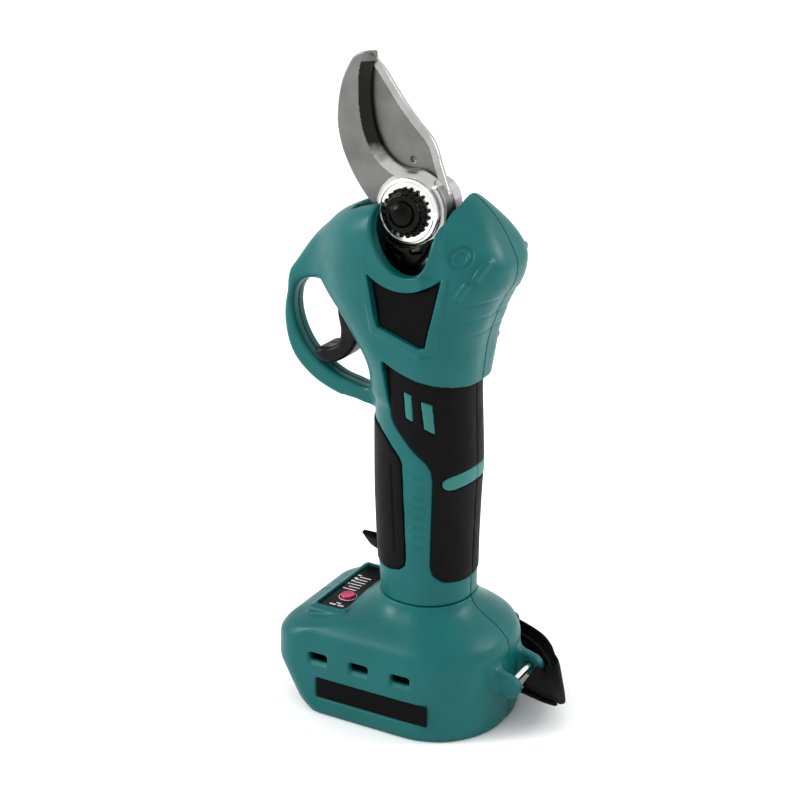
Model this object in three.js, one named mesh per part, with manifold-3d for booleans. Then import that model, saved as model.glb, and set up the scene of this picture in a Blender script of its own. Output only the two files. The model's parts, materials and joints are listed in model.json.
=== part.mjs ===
// Battery electric pruner, a bare tool without its battery. Millimetres, +Z up.
// The tool stands on its foot. The blades point up, the trigger side is -X and the lock nut side is -Y.
// Shapes are drawn about the handle's axis, and the whole group is then moved so that the origin is
// under the middle of the tool's box.
import * as THREE from 'three';
import { mergeVertices } from 'three/addons/utils/BufferGeometryUtils.js';
import Module from 'manifold-3d';

const wasm = await Module();
wasm.setup();

// ---------- driving dimensions ----------
const GAP = 0.3;               // clearance between neighbouring pieces
const HANDLE_X = 9.45;         // handle axis from the middle of the tool's box
const DRIVE_X = -1.2;          // motor, gearbox and blade pivot axis from the handle axis
const PIVOT_Z = 230.6;         // height of the blade pivot
const HANDLE_FRONT = -22;
const HANDLE_REAR = 23.5;
const HANDLE_HALF = 22.5;
const HEAD_HALF = 26;
const FOOT_HALF = 38;
const FOOT_FRONT = -60;
const FOOT_REAR = 41.5;
const RING_Z = 57;             // joint line between the body and the base
const BORE_R = 17.2;           // bore of the handle
const WALL = 2.8;              // wall of the head and the base
const GRIP_DEPTH = 1.8;
const GRIP_PROUD = 0.5;
const CORNER_STEPS = 5;        // facets in each corner of a lofted section

// blades, along Y
const FIXED_FRONT_Y = -14.4;
const FIXED_BACK_Y = -9.0;
const CUTTER_FRONT_Y = -8.7;
const CUTTER_BACK_Y = -4.9;
const PIVOT_R = 4;
const PIVOT_HOLE_R = 4.3;

// face gear on the moving blade and its pinion
const SECTOR_TEETH = 42;       // teeth on a full turn
const PINION_TEETH = 8;
const SECTOR_R = 20;
const PINION_R = SECTOR_R * PINION_TEETH / SECTOR_TEETH;
const PINION_Z = [207.8, 213.4];

// planetary stage
const SUN_TEETH = 12;
const PLANET_TEETH = 12;
const RING_TEETH = 36;
const GEAR_MODULE = 0.8;
const ORBIT_R = GEAR_MODULE * (SUN_TEETH + PLANET_TEETH) / 2;
const GEAR_Z = [121, 128.6];

// trigger
const TRIGGER_PIVOT = [-33, 195];
const TRIGGER_HALF = 8;

// ---------- materials ----------
const finish = (color, roughness, metalness) => () =>
  new THREE.MeshStandardMaterial({ color, roughness, metalness });
const teal = finish(0x1d7472, 0.5, 0);
const rubber = finish(0x151516, 0.85, 0);
const blackPlastic = finish(0x0d0d0e, 0.5, 0);
const bladeSteel = finish(0x8c8c8a, 0.35, 1);
const brightSteel = finish(0xc8c8c8, 0.25, 1);
const blackSteel = finish(0x1a1a1a, 0.4, 0.8);
const castAlloy = finish(0x9a9a9c, 0.5, 0.9);
const gearSteel = finish(0x77787a, 0.4, 1);
const copper = finish(0xb06a3c, 0.4, 0.9);
const board = finish(0x174d2c, 0.6, 0);
const red = finish(0xb01246, 0.4, 0);
const webbing = finish(0x0b0b0b, 0.95, 0);

// ---------- solids ----------
const rad = THREE.MathUtils.degToRad;

function solid(geometry) {
  const bare = geometry.clone();
  bare.deleteAttribute('normal');
  bare.deleteAttribute('uv');
  const merged = mergeVertices(bare, 1e-4);
  return new wasm.Manifold(new wasm.Mesh({
    numProp: 3,
    vertProperties: new Float32Array(merged.attributes.position.array),
    triVerts: new Uint32Array(merged.index.array),
  }));
}

function geometryOf(manifold) {
  const { vertProperties, triVerts } = manifold.getMesh();
  const geometry = new THREE.BufferGeometry();
  geometry.setAttribute('position', new THREE.BufferAttribute(vertProperties, 3));
  geometry.setIndex(new THREE.BufferAttribute(triVerts, 1));
  geometry.computeVertexNormals();
  return geometry;
}

const join = (...parts) => parts.reduce((all, next) => all.add(next));
const cut = (whole, ...tools) => tools.reduce((rest, tool) => rest.subtract(tool), whole);

// a closed skin through rings of points, each ring with the same number of points
function skin(rings) {
  const count = rings[0].length;
  const points = rings.flat();
  const index = [];
  for (let ring = 0; ring < rings.length - 1; ring++) {
    for (let i = 0; i < count; i++) {
      const a = ring * count + i;
      const b = ring * count + (i + 1) % count;
      index.push(a, b, b + count, a, b + count, a + count);
    }
  }
  const last = (rings.length - 1) * count;
  for (let i = 1; i < count - 1; i++) {
    index.push(0, i + 1, i, last, last + i, last + i + 1);
  }
  const geometry = new THREE.BufferGeometry();
  geometry.setAttribute('position', new THREE.Float32BufferAttribute(points.flat(), 3));
  geometry.setIndex(index);
  return solid(geometry);
}

// a rectangle with two corner radii: the front pair is at low u, the rear pair at high u
function roundedSection({ front, rear, half, frontR, rearR, low = -half }) {
  const corners = [
    [rear - rearR, half - rearR, rearR, 0],
    [front + frontR, half - frontR, frontR, 90],
    [front + frontR, low + frontR, frontR, 180],
    [rear - rearR, low + rearR, rearR, 270],
  ];
  const points = [];
  for (const [u, v, radius, start] of corners) {
    for (let step = 0; step <= CORNER_STEPS; step++) {
      const angle = rad(start + 90 * step / CORNER_STEPS);
      points.push([u + radius * Math.cos(angle), v + radius * Math.sin(angle)]);
    }
  }
  return points;
}

// rounded sections stacked along Z; grow moves every wall outwards
function loftZ(sections, grow = 0) {
  return skin(sections.map((s) => roundedSection({
    front: s.front - grow,
    rear: s.rear + grow,
    half: s.half + grow,
    frontR: Math.max(s.frontR + grow, 0.5),
    rearR: Math.max(s.rearR + grow, 0.5),
  }).map(([x, y]) => [x, y, s.z])));
}

// rounded sections stacked along X, from low Z to high Z
function loftX(sections, grow = 0) {
  return skin(sections.map((s) => roundedSection({
    front: -s.half - grow,
    rear: s.half + grow,
    half: s.top + grow,
    low: s.bottom - grow,
    frontR: s.r,
    rearR: s.r,
  }).map(([y, z]) => [s.x, y, z])));
}

const shapeOf = (points) => new THREE.Shape(points.map(([u, v]) => new THREE.Vector2(u, v)));

// a drawing in the X-Z plane, extruded from yLow to yHigh
function prism(shape, yLow, yHigh, bevel = 0) {
  const geometry = new THREE.ExtrudeGeometry(shape, {
    depth: yHigh - yLow - 2 * bevel,
    bevelEnabled: bevel > 0,
    bevelThickness: bevel,
    bevelSize: bevel,
    bevelOffset: -bevel,
    bevelSegments: 1,
    curveSegments: 8,
  });
  geometry.rotateX(Math.PI / 2);
  geometry.translate(0, yHigh - bevel, 0);
  return solid(geometry);
}

// a drawing in the X-Y plane about (x, y), extruded from zLow to zHigh
function placed(shape, x, y, zLow, zHigh) {
  const geometry = new THREE.ExtrudeGeometry(shape, {
    depth: zHigh - zLow,
    bevelEnabled: false,
    curveSegments: 8,
  });
  geometry.translate(x, y, zLow);
  return solid(geometry);
}

const slab = (shape, zLow, zHigh) => placed(shape, 0, 0, zLow, zHigh);

function box(x, y, z) {
  const geometry = new THREE.BoxGeometry(x[1] - x[0], y[1] - y[0], z[1] - z[0]);
  geometry.translate((x[0] + x[1]) / 2, (y[0] + y[1]) / 2, (z[0] + z[1]) / 2);
  return solid(geometry);
}

function rodY(x, z, radius, yLow, yHigh, sides = 18) {
  const geometry = new THREE.CylinderGeometry(radius, radius, yHigh - yLow, sides);
  geometry.translate(x, (yLow + yHigh) / 2, z);
  return solid(geometry);
}

function rodZ(x, y, radius, zLow, zHigh, sides = 28) {
  const geometry = new THREE.CylinderGeometry(radius, radius, zHigh - zLow, sides);
  geometry.rotateX(Math.PI / 2);
  geometry.translate(x, y, (zLow + zHigh) / 2);
  return solid(geometry);
}

// a turned piece about a vertical axis, from [radius, z] points
function turnedZ(profile, x, y = 0, sides = 24) {
  const geometry = new THREE.LatheGeometry(profile.map(([r, z]) => new THREE.Vector2(r, z)), sides);
  geometry.rotateX(Math.PI / 2);
  geometry.translate(x, y, 0);
  return solid(geometry);
}

const tubeZ = (x, outer, inner, zLow, zHigh) =>
  cut(rodZ(x, 0, outer, zLow, zHigh), rodZ(x, 0, inner, zLow - 1, zHigh + 1));

// the outline of a spur gear; half widths of a tooth in mm at the root, pitch and tip circles
function gearShape(teeth, radii, halfWidths, turnDeg = 0) {
  const points = [];
  for (let tooth = 0; tooth < teeth; tooth++) {
    const middle = rad(turnDeg + 360 * tooth / teeth);
    const flank = radii.map((r, i) => [r, halfWidths[i] / r]);
    const rising = flank.map(([r, a]) => [r, middle - a]);
    const falling = flank.map(([r, a]) => [r, middle + a]).reverse();
    for (const [r, angle] of [...rising, ...falling]) {
      points.push([r * Math.cos(angle), r * Math.sin(angle)]);
    }
  }
  return shapeOf(points);
}

const LEFT_HALF = box([-90, 90], [-80, -0.01], [-20, 320]);
const RIGHT_HALF = box([-90, 90], [0.01, 80], [-20, 320]);
const mirrorY = (manifold) => manifold.mirror([0, 1, 0]);

// ---------- the body's outer form ----------
const handleSection = (z) => ({
  z,
  front: HANDLE_FRONT,
  rear: HANDLE_REAR,
  half: HANDLE_HALF,
  frontR: 21,
  rearR: 21,
});
const HANDLE_SECTIONS = [handleSection(RING_Z + GAP), handleSection(172)];
const HEAD_SECTIONS = [
  { z: 156, front: -22, rear: 22.5, half: 22, frontR: 20, rearR: 20 },
  { z: 160, front: -23, rear: 25, half: 23.8, frontR: 20, rearR: 20 },
  { z: 167, front: -26, rear: 27.5, half: 25.4, frontR: 21, rearR: 20 },
  { z: 178, front: -34, rear: 30.5, half: HEAD_HALF, frontR: 23, rearR: 20 },
  { z: 193, front: -42, rear: 37.2, half: HEAD_HALF, frontR: 24, rearR: 20 },
  { z: 204, front: -42, rear: 43, half: HEAD_HALF, frontR: 24, rearR: 21 },
  { z: 212, front: -40, rear: 43.5, half: HEAD_HALF, frontR: 24, rearR: 21 },
  { z: 224, front: -34, rear: 36.4, half: 25.5, frontR: 22, rearR: 18 },
  { z: 230.5, front: -26, rear: 30.5, half: 24, frontR: 18, rearR: 15 },
  { z: 234.5, front: -6, rear: 26, half: 21, frontR: 12, rearR: 12 },
  { z: 238, front: 10, rear: 21.5, half: 14, frontR: 5, rearR: 5 },
];
const ARM_SECTIONS = [
  { x: -64, bottom: 190, top: 199, half: 5, r: 2.5 },
  { x: -58, bottom: 193, top: 207, half: 6, r: 3 },
  { x: -48, bottom: 193, top: 217, half: 10, r: 5 },
  { x: -38, bottom: 190, top: 224, half: 16, r: 8 },
  { x: -27, bottom: 186, top: 229.3, half: 22, r: 11 },
  { x: -16, bottom: 186, top: 231, half: 25, r: 11 },
];

// points along a smooth curve through the given points
function smooth(points, count, closed = false) {
  const path = new THREE.CatmullRomCurve3(
    points.map(([u, v]) => new THREE.Vector3(u, v, 0)), closed, 'catmullrom', 0.5);
  const along = path.getPoints(count).map((point) => [point.x, point.y]);
  return closed ? along.slice(0, -1) : along;
}

const GUARD_OUTER = [
  [-30, 222], [-47.4, 217], [-61, 203], [-68.6, 190], [-70.8, 174], [-66.5, 158.5],
  [-56, 148], [-42.5, 142], [-31, 140], [-25, 133], [-15, 126],
];
const FINGER_LOOP = [
  [-25.8, 149.2], [-36.8, 149.4], [-46, 152.6], [-56.5, 160], [-62.6, 170], [-64.6, 180],
  [-62.6, 189], [-57, 193.4], [-50, 193.8], [-45.5, 191], [-37, 180.3], [-29, 168.5],
];

function guardShape() {
  const shape = shapeOf([...smooth(GUARD_OUTER, 30), [-15, 222]]);
  shape.holes.push(new THREE.Path(
    smooth(FINGER_LOOP, 32, true).map(([u, v]) => new THREE.Vector2(u, v))));
  return shape;
}

const FINGER_HOLE = prism(shapeOf(smooth(FINGER_LOOP, 32, true)), -40, 40);

const handleForm = loftZ(HANDLE_SECTIONS);
const headForm = cut(join(loftZ(HEAD_SECTIONS), loftX(ARM_SECTIONS)), FINGER_HOLE);
const guardForm = prism(guardShape(), -5.5, 5.5, 1.6);
const bodyForm = join(handleForm, headForm, guardForm);

// ---------- openings and pockets of the body ----------
function windowShape() {
  const shape = new THREE.Shape();
  shape.moveTo(-13.5, 250);
  shape.lineTo(-12.2, 226);
  shape.bezierCurveTo(-10.5, 214, -4, 206.6, 4, 206.6);
  shape.bezierCurveTo(11.5, 206.6, 13.5, 214, 15.8, 226);
  shape.lineTo(21, 236);
  shape.lineTo(26, 250);
  return shape;
}

function shieldShape(inset = 0) {
  const shape = new THREE.Shape();
  shape.moveTo(-13.8 + inset, 206.3 - 1.4 * inset);
  shape.lineTo(-9.8 + inset, 183.9 + inset);
  shape.lineTo(9.4, 176.9 + inset);
  shape.lineTo(12 - inset, 177.4 + inset);
  shape.lineTo(19.3 - inset, 207 - 1.4 * inset);
  shape.quadraticCurveTo(4, 194 - inset, -13.8 + inset, 206.3 - 1.4 * inset);
  return shape;
}

const FRONT_GRIP = [
  [-30, 141], [-14, 137.5], [-1.8, 126], [-0.4, 118], [1, 80], [-2, 74], [-8, 72], [-30, 72],
];
const REAR_GRIP = [
  [-8.5, 169.5], [-5.6, 143.5], [3.1, 131.8], [11, 124.5], [13, 117], [11.7, 77],
  [14, 70], [20, 67], [34, 66], [34, 153], [20, 154], [8, 157.5], [-1.5, 163.5],
];

// a prism with a margin all round it
const withMargin = (form, by) =>
  join(...[[by, 0], [-by, 0], [0, by], [0, -by]].map(([x, z]) => form.translate([x, 0, z])));

const gripBand = loftZ([handleSection(62), handleSection(176)], GRIP_PROUD)
  .subtract(loftZ([handleSection(61), handleSection(177)], -GRIP_DEPTH));
const gripPocket = loftZ([handleSection(62), handleSection(176)], 2)
  .subtract(loftZ([handleSection(61), handleSection(177)], -GRIP_DEPTH - GAP));
const headMargin = loftZ(HEAD_SECTIONS.slice(0, 6), GAP);

const gripLeft = (outline) =>
  cut(gripBand.intersect(prism(shapeOf(outline), -60, -GAP / 2)), headMargin);
const pocketLeft = (outline) => gripPocket.intersect(withMargin(prism(shapeOf(outline), -60, 1), 0.4));

// screws along Y: x, z and the height of the head's face
const BODY_SCREWS = [[30, 198, 22.2], [21.5, 174, 20.6], [-27, 212, 22]];
const BASE_SCREWS = [[32, 38, 24.4], [-49, 32, 36.4]];

const bossFor = ([x, z], form) => rodY(x, z, 4, -60, 60).intersect(form);
const screwHole = ([x, z, headY]) =>
  join(rodY(x, z, 1.9, -20, 70), rodY(x, z, 3.6, headY - 2.6, 70));

function bodyInside() {
  const head = loftZ(HEAD_SECTIONS.slice(2, 9), -WALL);
  const bore = rodZ(DRIVE_X, 0, BORE_R, 50, 172);
  const bosses = join(...BODY_SCREWS.map((at) => bossFor(at, bodyForm)));
  const pinBoss = rodY(...TRIGGER_PIVOT, 4, -40, 40).intersect(bodyForm);
  const triggerRoom = box([-70, 0], [-TRIGGER_HALF - 0.5, TRIGGER_HALF + 0.5], [100, 260]);
  return cut(join(head, bore), bosses, cut(pinBoss, triggerRoom));
}

function bodyShells() {
  const triggerSlot = box([-52, -24.6], [-TRIGGER_HALF - 0.6, TRIGGER_HALF + 0.6], [158, 203]);
  const guardKeep = prism(shapeOf([[-80, 192], [-46, 192], [-42, 203], [-42, 240], [-80, 240]]), -20, 20);
  const bladeSlot = box([-26, 22], [-18, 17], [212, 260]);
  const pin = rodY(...TRIGGER_PIVOT, 1.8, -13.3, 13.3);
  let whole = cut(bodyForm, bodyInside(), cut(triggerSlot, guardKeep), bladeSlot, pin);
  whole = cut(whole, prism(windowShape(), -60, -5));
  whole = cut(whole, ...BODY_SCREWS.map(screwHole));
  const pockets = join(pocketLeft(FRONT_GRIP), pocketLeft(REAR_GRIP));
  const plate = prism(shieldShape(), -60, -HEAD_HALF + 1.4);
  const left = cut(whole.intersect(LEFT_HALF), pockets, plate);
  const right = cut(whole.intersect(RIGHT_HALF), mirrorY(pockets), mirrorY(plate));
  return [left, right];
}

// ---------- the base ----------
const BASE_SECTIONS = [
  { z: 0, front: -44, rear: 40, half: 36.5, frontR: 12, rearR: 33 },
  { z: 5, front: -48, rear: FOOT_REAR, half: FOOT_HALF, frontR: 12, rearR: 34 },
  { z: 23, front: FOOT_FRONT, rear: FOOT_REAR, half: FOOT_HALF, frontR: 13, rearR: 34 },
  { z: 38, front: FOOT_FRONT, rear: FOOT_REAR, half: FOOT_HALF, frontR: 14, rearR: 34 },
  { z: 43, front: -57, rear: 39.5, half: 35.5, frontR: 16, rearR: 32 },
  { z: 47, front: -48, rear: 36, half: 31.5, frontR: 20, rearR: 29 },
  { z: 50.5, front: -34, rear: 31, half: 27.5, frontR: 24, rearR: 25 },
  { z: 54, front: -26.5, rear: 27, half: 25, frontR: 23, rearR: 23 },
  { z: RING_Z, front: -24, rear: 25.5, half: 24.2, frontR: 22.5, rearR: 22.5 },
];
const PANEL = { x: [-43.5, -29.5], half: 23, z: [45.2, 46.8] };
const BUTTON = { x: -35.2, y: -10, r: 3.4 };
const EAR = { y: [9.6, 13.2], x: 47, z: 24.5 };

function roundedRect(xLow, xHigh, yLow, yHigh, radius) {
  return shapeOf(roundedSection({
    front: xLow,
    rear: xHigh,
    half: yHigh,
    low: yLow,
    frontR: radius,
    rearR: radius,
  }));
}

function earShape() {
  const shape = new THREE.Shape();
  shape.moveTo(34, 19);
  shape.lineTo(EAR.x, 19.6);
  shape.absarc(EAR.x, EAR.z, 4.9, -Math.PI / 2, Math.PI / 2);
  shape.lineTo(34, 30.5);
  return shape;
}

const LABEL = { x: [-36, 20], z: [9, 18.8] };
const SLOT_X = [-34.8, -14, 6.8];

function baseShells() {
  const bezel = slab(roundedRect(-47, -25.5, -26.5, 26.5, 4), 38, 47.4);
  const ears = join(prism(earShape(), ...EAR.y), prism(earShape(), -EAR.y[1], -EAR.y[0]));
  const form = join(loftZ(BASE_SECTIONS), bezel, ears);
  const inside = loftZ([
    { z: 17, front: -52, rear: 38, half: 34.8, frontR: 11, rearR: 31 },
    { z: 38, front: -56, rear: 38, half: 34.8, frontR: 11, rearR: 31 },
    { z: 43, front: -50, rear: 34, half: 31, frontR: 14, rearR: 28 },
    { z: 50, front: -26, rear: 26, half: 22, frontR: 18, rearR: 19 },
    { z: 62, front: -20.5, rear: 20, half: 19.5, frontR: 18, rearR: 18 },
  ]);
  const underPanel = box([-46, -20], [-27, 27], [42.4, 60]);
  const bosses = join(...BASE_SCREWS.map((at) => bossFor(at, form)));
  const bay = join(
    box([-80, 24], [-26, 26], [-1, 3.5]),
    box([-80, 24], [-31, 31], [3.5, 12]),
    box([-7, 15], [-18.5, 18.5], [10, 20]),
  );
  const panelHalf = PANEL.half + GAP;
  const pocket = slab(
    roundedRect(PANEL.x[0] - GAP, PANEL.x[1] + GAP, -panelHalf, panelHalf, 2.3), 44.9, 60,
  );
  const buttonHole = rodZ(BUTTON.x, BUTTON.y, BUTTON.r + 0.4, 30, 60);
  const labels = box([LABEL.x[0], LABEL.x[1]], [-60, -FOOT_HALF + 1.2], [LABEL.z[0], LABEL.z[1]]);
  const slots = SLOT_X.map((x) => box([x - 4.5, x + 4.5], [-60, 60], [26.6, 30.8]));
  const pinHole = rodY(EAR.x, EAR.z, 2.1, -20, 20);
  let whole = cut(form, cut(inside, underPanel, bosses), bay, pocket, buttonHole, pinHole);
  whole = cut(whole, labels, mirrorY(labels), ...slots);
  whole = cut(whole, ...BASE_SCREWS.map(screwHole));
  return [whole.intersect(LEFT_HALF), whole.intersect(RIGHT_HALF)];
}

// ---------- blades ----------
const aroundPivot = (angleDeg, radius) => [
  DRIVE_X + radius * Math.cos(rad(angleDeg)),
  PIVOT_Z + radius * Math.sin(rad(angleDeg)),
];

// points on an arc about the pivot
function pivotArc(radius, fromDeg, toDeg, steps) {
  const points = [];
  for (let step = 0; step <= steps; step++) {
    points.push(aroundPivot(fromDeg + (toDeg - fromDeg) * step / steps, radius));
  }
  return points;
}

const HOOK_BACK = [
  [-11, 226], [-18.4, 231.4], [-26.3, 241], [-32.2, 252.2], [-34.7, 262], [-34.7, 269], [-33.7, 276.2],
  [-31.8, 282.5], [-29, 287.9], [-26.8, 290.9], [-23.6, 292.6], [-18.9, 293.2],
];
const HOOK_BITE = [
  [-18.6, 290.4], [-20.2, 287.3], [-21, 283], [-21.2, 277.3], [-21, 271.9], [-19.8, 264.3],
  [-17.6, 258.3], [-14.7, 253.3], [-9.4, 249], [-4, 247.3], [3, 247.2], [8.6, 244.4],
];
const CUTTER_SPINE = [
  [12.4, 239.8], [10.2, 246], [8.6, 250.5], [7.4, 254.5], [4.8, 259.5], [-1.3, 265.8], [-7, 272.3],
  [-11.9, 278.7], [-17.2, 286], [-21, 290.6],
];
const CUTTER_EDGE = [
  [-25.5, 287.5], [-30, 278], [-31.5, 268], [-30, 256], [-24.5, 246.5], [-16.5, 238],
];

const hookShape = () => shapeOf([
  [-14.2, 200], ...smooth(HOOK_BACK, 24), ...smooth(HOOK_BITE, 22),
  ...pivotArc(16.8, 46, -48, 10), [11.8, 200],
]);

const cutterShape = () => shapeOf([
  ...pivotArc(23, -105, -31, 8), ...pivotArc(16.4, -24, 30, 6),
  ...smooth(CUTTER_SPINE, 18), ...smooth(CUTTER_EDGE, 12), ...pivotArc(15.5, 160, 238, 8),
]);

function sectorTooth(step) {
  const middle = -90 + (step + 0.5) * 360 / SECTOR_TEETH;
  const halfDeg = 1.4;
  return prism(shapeOf([
    aroundPivot(middle - halfDeg, 17.4),
    aroundPivot(middle - halfDeg, 22.6),
    aroundPivot(middle + halfDeg, 22.6),
    aroundPivot(middle + halfDeg, 17.4),
  ]), CUTTER_BACK_Y - 0.2, -3.05);
}

const pivotHole = () => rodY(DRIVE_X, PIVOT_Z, PIVOT_HOLE_R, -40, 40);
const BLADE_SCREWS = [[-9.4, 203.6], [7, 203.6]];
const LOCK_SCREW = [-4.6, 211];

function fixedBlade() {
  const plate = prism(hookShape(), FIXED_FRONT_Y, FIXED_BACK_Y, 0.5);
  const holes = BLADE_SCREWS.map(([x, z]) => rodY(x, z, 2.8, -40, 0));
  return cut(plate, pivotHole(), ...holes, rodY(...LOCK_SCREW, 1.9, -40, 0));
}

function movingBlade() {
  const plate = prism(cutterShape(), CUTTER_FRONT_Y, CUTTER_BACK_Y);
  const teeth = [-2, -1, 0, 1, 2, 3, 4, 5, 6].map(sectorTooth);
  return cut(join(plate, ...teeth), pivotHole());
}

function pivotBolt() {
  const dome = new THREE.LatheGeometry([
    [0, -22.2], [PIVOT_R, -22.2], [PIVOT_R, 12.4], [7.5, 12.4], [7.5, 16.2], [0, 16.2],
  ].map(([r, y]) => new THREE.Vector2(r, y)), 24);
  dome.translate(DRIVE_X, 0, PIVOT_Z);
  const nose = new THREE.SphereGeometry(PIVOT_R - 0.1, 20, 10);
  nose.scale(1, 0.55, 1);
  nose.translate(DRIVE_X, -22.2, PIVOT_Z);
  return join(solid(dome), solid(nose));
}

function lockNut() {
  const shape = gearShape(24, [9.2, 10.2], [0.85, 0.55]);
  const geometry = new THREE.ExtrudeGeometry(shape, { depth: 4.2, bevelEnabled: false });
  geometry.rotateX(Math.PI / 2);
  geometry.translate(DRIVE_X, -17.3, PIVOT_Z);
  return cut(solid(geometry), pivotHole());
}

function pivotRing() {
  return cut(rodY(DRIVE_X, PIVOT_Z, 13.8, -17, FIXED_FRONT_Y - GAP, 40), pivotHole());
}

function lockPlate() {
  const shape = shapeOf([
    [-9.4, 208.6], [-9.2, 216.4], [-5.4, 219.4], [-1.2, 220],
    [3, 219.4], [5.4, 216], [4.6, 208.6], [-1, 206.6],
  ]);
  return cut(prism(shape, -18.6, FIXED_FRONT_Y - GAP, 0.4), rodY(...LOCK_SCREW, 1.9, -40, 0));
}

const screwY = (x, z, shank, head, yShankEnd, yHead) =>
  join(
    rodY(x, z, shank, Math.min(yShankEnd, yHead[0]), Math.max(yShankEnd, yHead[1]), 16),
    rodY(x, z, head, ...yHead, 20),
  );

// ---------- gear head, gearbox and motor ----------
function gearHead() {
  const collar = rodZ(DRIVE_X, 0, 16.8, 136, 171);
  const block = box([DRIVE_X - 16, DRIVE_X + 16], [-8.4, 13], [170.4, 206.4]);
  const plate = box([DRIVE_X - 10.5, DRIVE_X + 10.5], [5.4, 12], [205, PIVOT_Z]);
  const boss = join(
    rodY(DRIVE_X, PIVOT_Z, 10.5, 5.4, 12),
    rodY(DRIVE_X, PIVOT_Z, 8.6, CUTTER_BACK_Y + GAP, 6),
  );
  const shaftWay = join(
    rodZ(DRIVE_X, 0, 14.2, 130, 156),
    rodZ(DRIVE_X, 0, 10.3, 150, 200.4),
    rodZ(DRIVE_X, 0, 4.6, 195, 210),
  );
  const holes = BLADE_SCREWS.map(([x, z]) => rodY(x, z, 2.7, -40, -2.4));
  return cut(join(collar, block, plate, boss), shaftWay, pivotHole(), ...holes);
}

const orbit = (index) => {
  const angle = rad(90 + 120 * index);
  return [DRIVE_X + ORBIT_R * Math.cos(angle), ORBIT_R * Math.sin(angle)];
};

function planetCarrier() {
  const shaft = turnedZ([
    [0, 129.2], [13.2, 129.2], [13.2, 133], [6, 133], [6, 192], [4, 192.2], [4, 207.4], [0, 207.4],
  ], DRIVE_X);
  const pins = [0, 1, 2].map((i) => rodZ(...orbit(i), 1.4, GEAR_Z[0], 130, 16));
  return join(shaft, ...pins);
}

// radii and tooth half widths shared by the sun and the planets
function smallGear(teeth, turnDeg) {
  const pitch = GEAR_MODULE * teeth / 2;
  return gearShape(teeth, [pitch - 0.95, pitch, pitch + 0.55], [0.66, 0.48, 0.26], turnDeg);
}

function planetGear(index) {
  const [x, y] = orbit(index);
  return cut(placed(smallGear(PLANET_TEETH, 15), x, y, ...GEAR_Z), rodZ(x, y, 1.7, 100, 140, 16));
}

function sunGear() {
  return cut(
    placed(smallGear(SUN_TEETH, 0), DRIVE_X, 0, ...GEAR_Z),
    rodZ(DRIVE_X, 0, 2.2, 100, 140, 20),
  );
}

function ringGear() {
  const pitch = GEAR_MODULE * RING_TEETH / 2;
  const hole = gearShape(RING_TEETH, [pitch - 0.5, pitch, pitch + 0.95], [0.96, 0.78, 0.6], 5);
  return cut(
    rodZ(DRIVE_X, 0, 16.9, 118.4, 128.9, 36),
    placed(hole, DRIVE_X, 0, 110, 140),
  );
}

function drivePinion() {
  const halfWidths = [0.76, 0.52, 0.3];
  const shape = gearShape(PINION_TEETH, [2.7, PINION_R, 4.5], halfWidths, -90);
  return placed(shape, DRIVE_X, 0, ...PINION_Z);
}

function motorCan() {
  return cut(
    rodZ(DRIVE_X, 0, 16.8, 78, 114),
    rodZ(DRIVE_X, 0, 15.5, 80, 120),
    rodZ(DRIVE_X, 0, 2.6, 70, 90),
  );
}

const rotor = () => turnedZ([
  [0, 74], [2, 74], [2, 84], [8, 84], [8, 108], [2, 108], [2, 129], [0, 129],
], DRIVE_X);

// ---------- trigger ----------
const TRIGGER_OUTLINE = [
  [-36, 200.5], [-39.5, 196], [-41, 188], [-41.6, 180], [-40.2, 172], [-41, 166.6], [-44.5, 164],
  [-49.5, 163.4], [-52.4, 161.2], [-51, 158.2], [-46, 156.6], [-40.5, 158], [-35.4, 162.2],
  [-32, 168.4], [-30.8, 176], [-29, 186], [-28.4, 200.5],
];
const triggerShape = () => shapeOf(smooth(TRIGGER_OUTLINE, 30));

const trigger = () => cut(
  prism(triggerShape(), -TRIGGER_HALF, TRIGGER_HALF, 1.5),
  rodY(...TRIGGER_PIVOT, 1.8, -40, 40),
);

// ---------- wrist strap ----------
// each row: centre of the webbing x, y, z, the direction of its width, and how far the
// returning strand lies outside it
const STRAP_ROUTE = [
  [50.6, 0, 21.4, 0, 1, 0, 3.6], [54.8, 0.4, 20.4, 0, 1, 0, 3.6],
  [57.6, 2.4, 19.2, -0.15, 1, 0.12, 3.6], [58.6, 8, 17.8, -0.35, 0.7, 0.55, 3.6],
  [56.2, 14.8, 16.6, -0.35, 0.3, 0.85, 3.7], [51.2, 22, 15.4, -0.25, 0, 1, 4],
  [45, 29.8, 14.2, -0.15, -0.1, 1, 5], [36.2, 37, 13.4, -0.1, -0.1, 1, 6.4],
  [24.8, 41.6, 13.8, 0, -0.1, 1, 7.2], [13, 42.4, 16.8, -0.1, -0.1, 1, 7.2],
  [1, 42.8, 21.6, -0.25, -0.12, 1, 7.2], [-10, 42.8, 27.2, -0.3, -0.2, 1, 7.2],
  [-20, 42.6, 33.8, -0.3, -0.35, 1, 7], [-29, 41.2, 40.6, -0.2, -0.5, 1, 6],
  [-40.6, 38.8, 48.8, 0.1, -0.75, 0.9, 4.4],
];
const STRAP_END = [-53, 38.6, 55, 0.15, -0.85, 0.85];
const STRAP_WIDTH = 17;
const STRAP_THICK = 1.8;

// the centre, the width direction and the face direction of the webbing at each row
function webbingFrames(rows) {
  const centres = rows.map((row) => new THREE.Vector3(row[0], row[1], row[2]));
  return rows.map((row, i) => {
    const before = centres[Math.max(i - 1, 0)];
    const after = centres[Math.min(i + 1, rows.length - 1)];
    const along = after.clone().sub(before).normalize();
    const across = new THREE.Vector3(row[3], row[4], row[5]);
    across.addScaledVector(along, -across.dot(along)).normalize();
    return { centre: centres[i], across, face: new THREE.Vector3().crossVectors(along, across) };
  });
}

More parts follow.
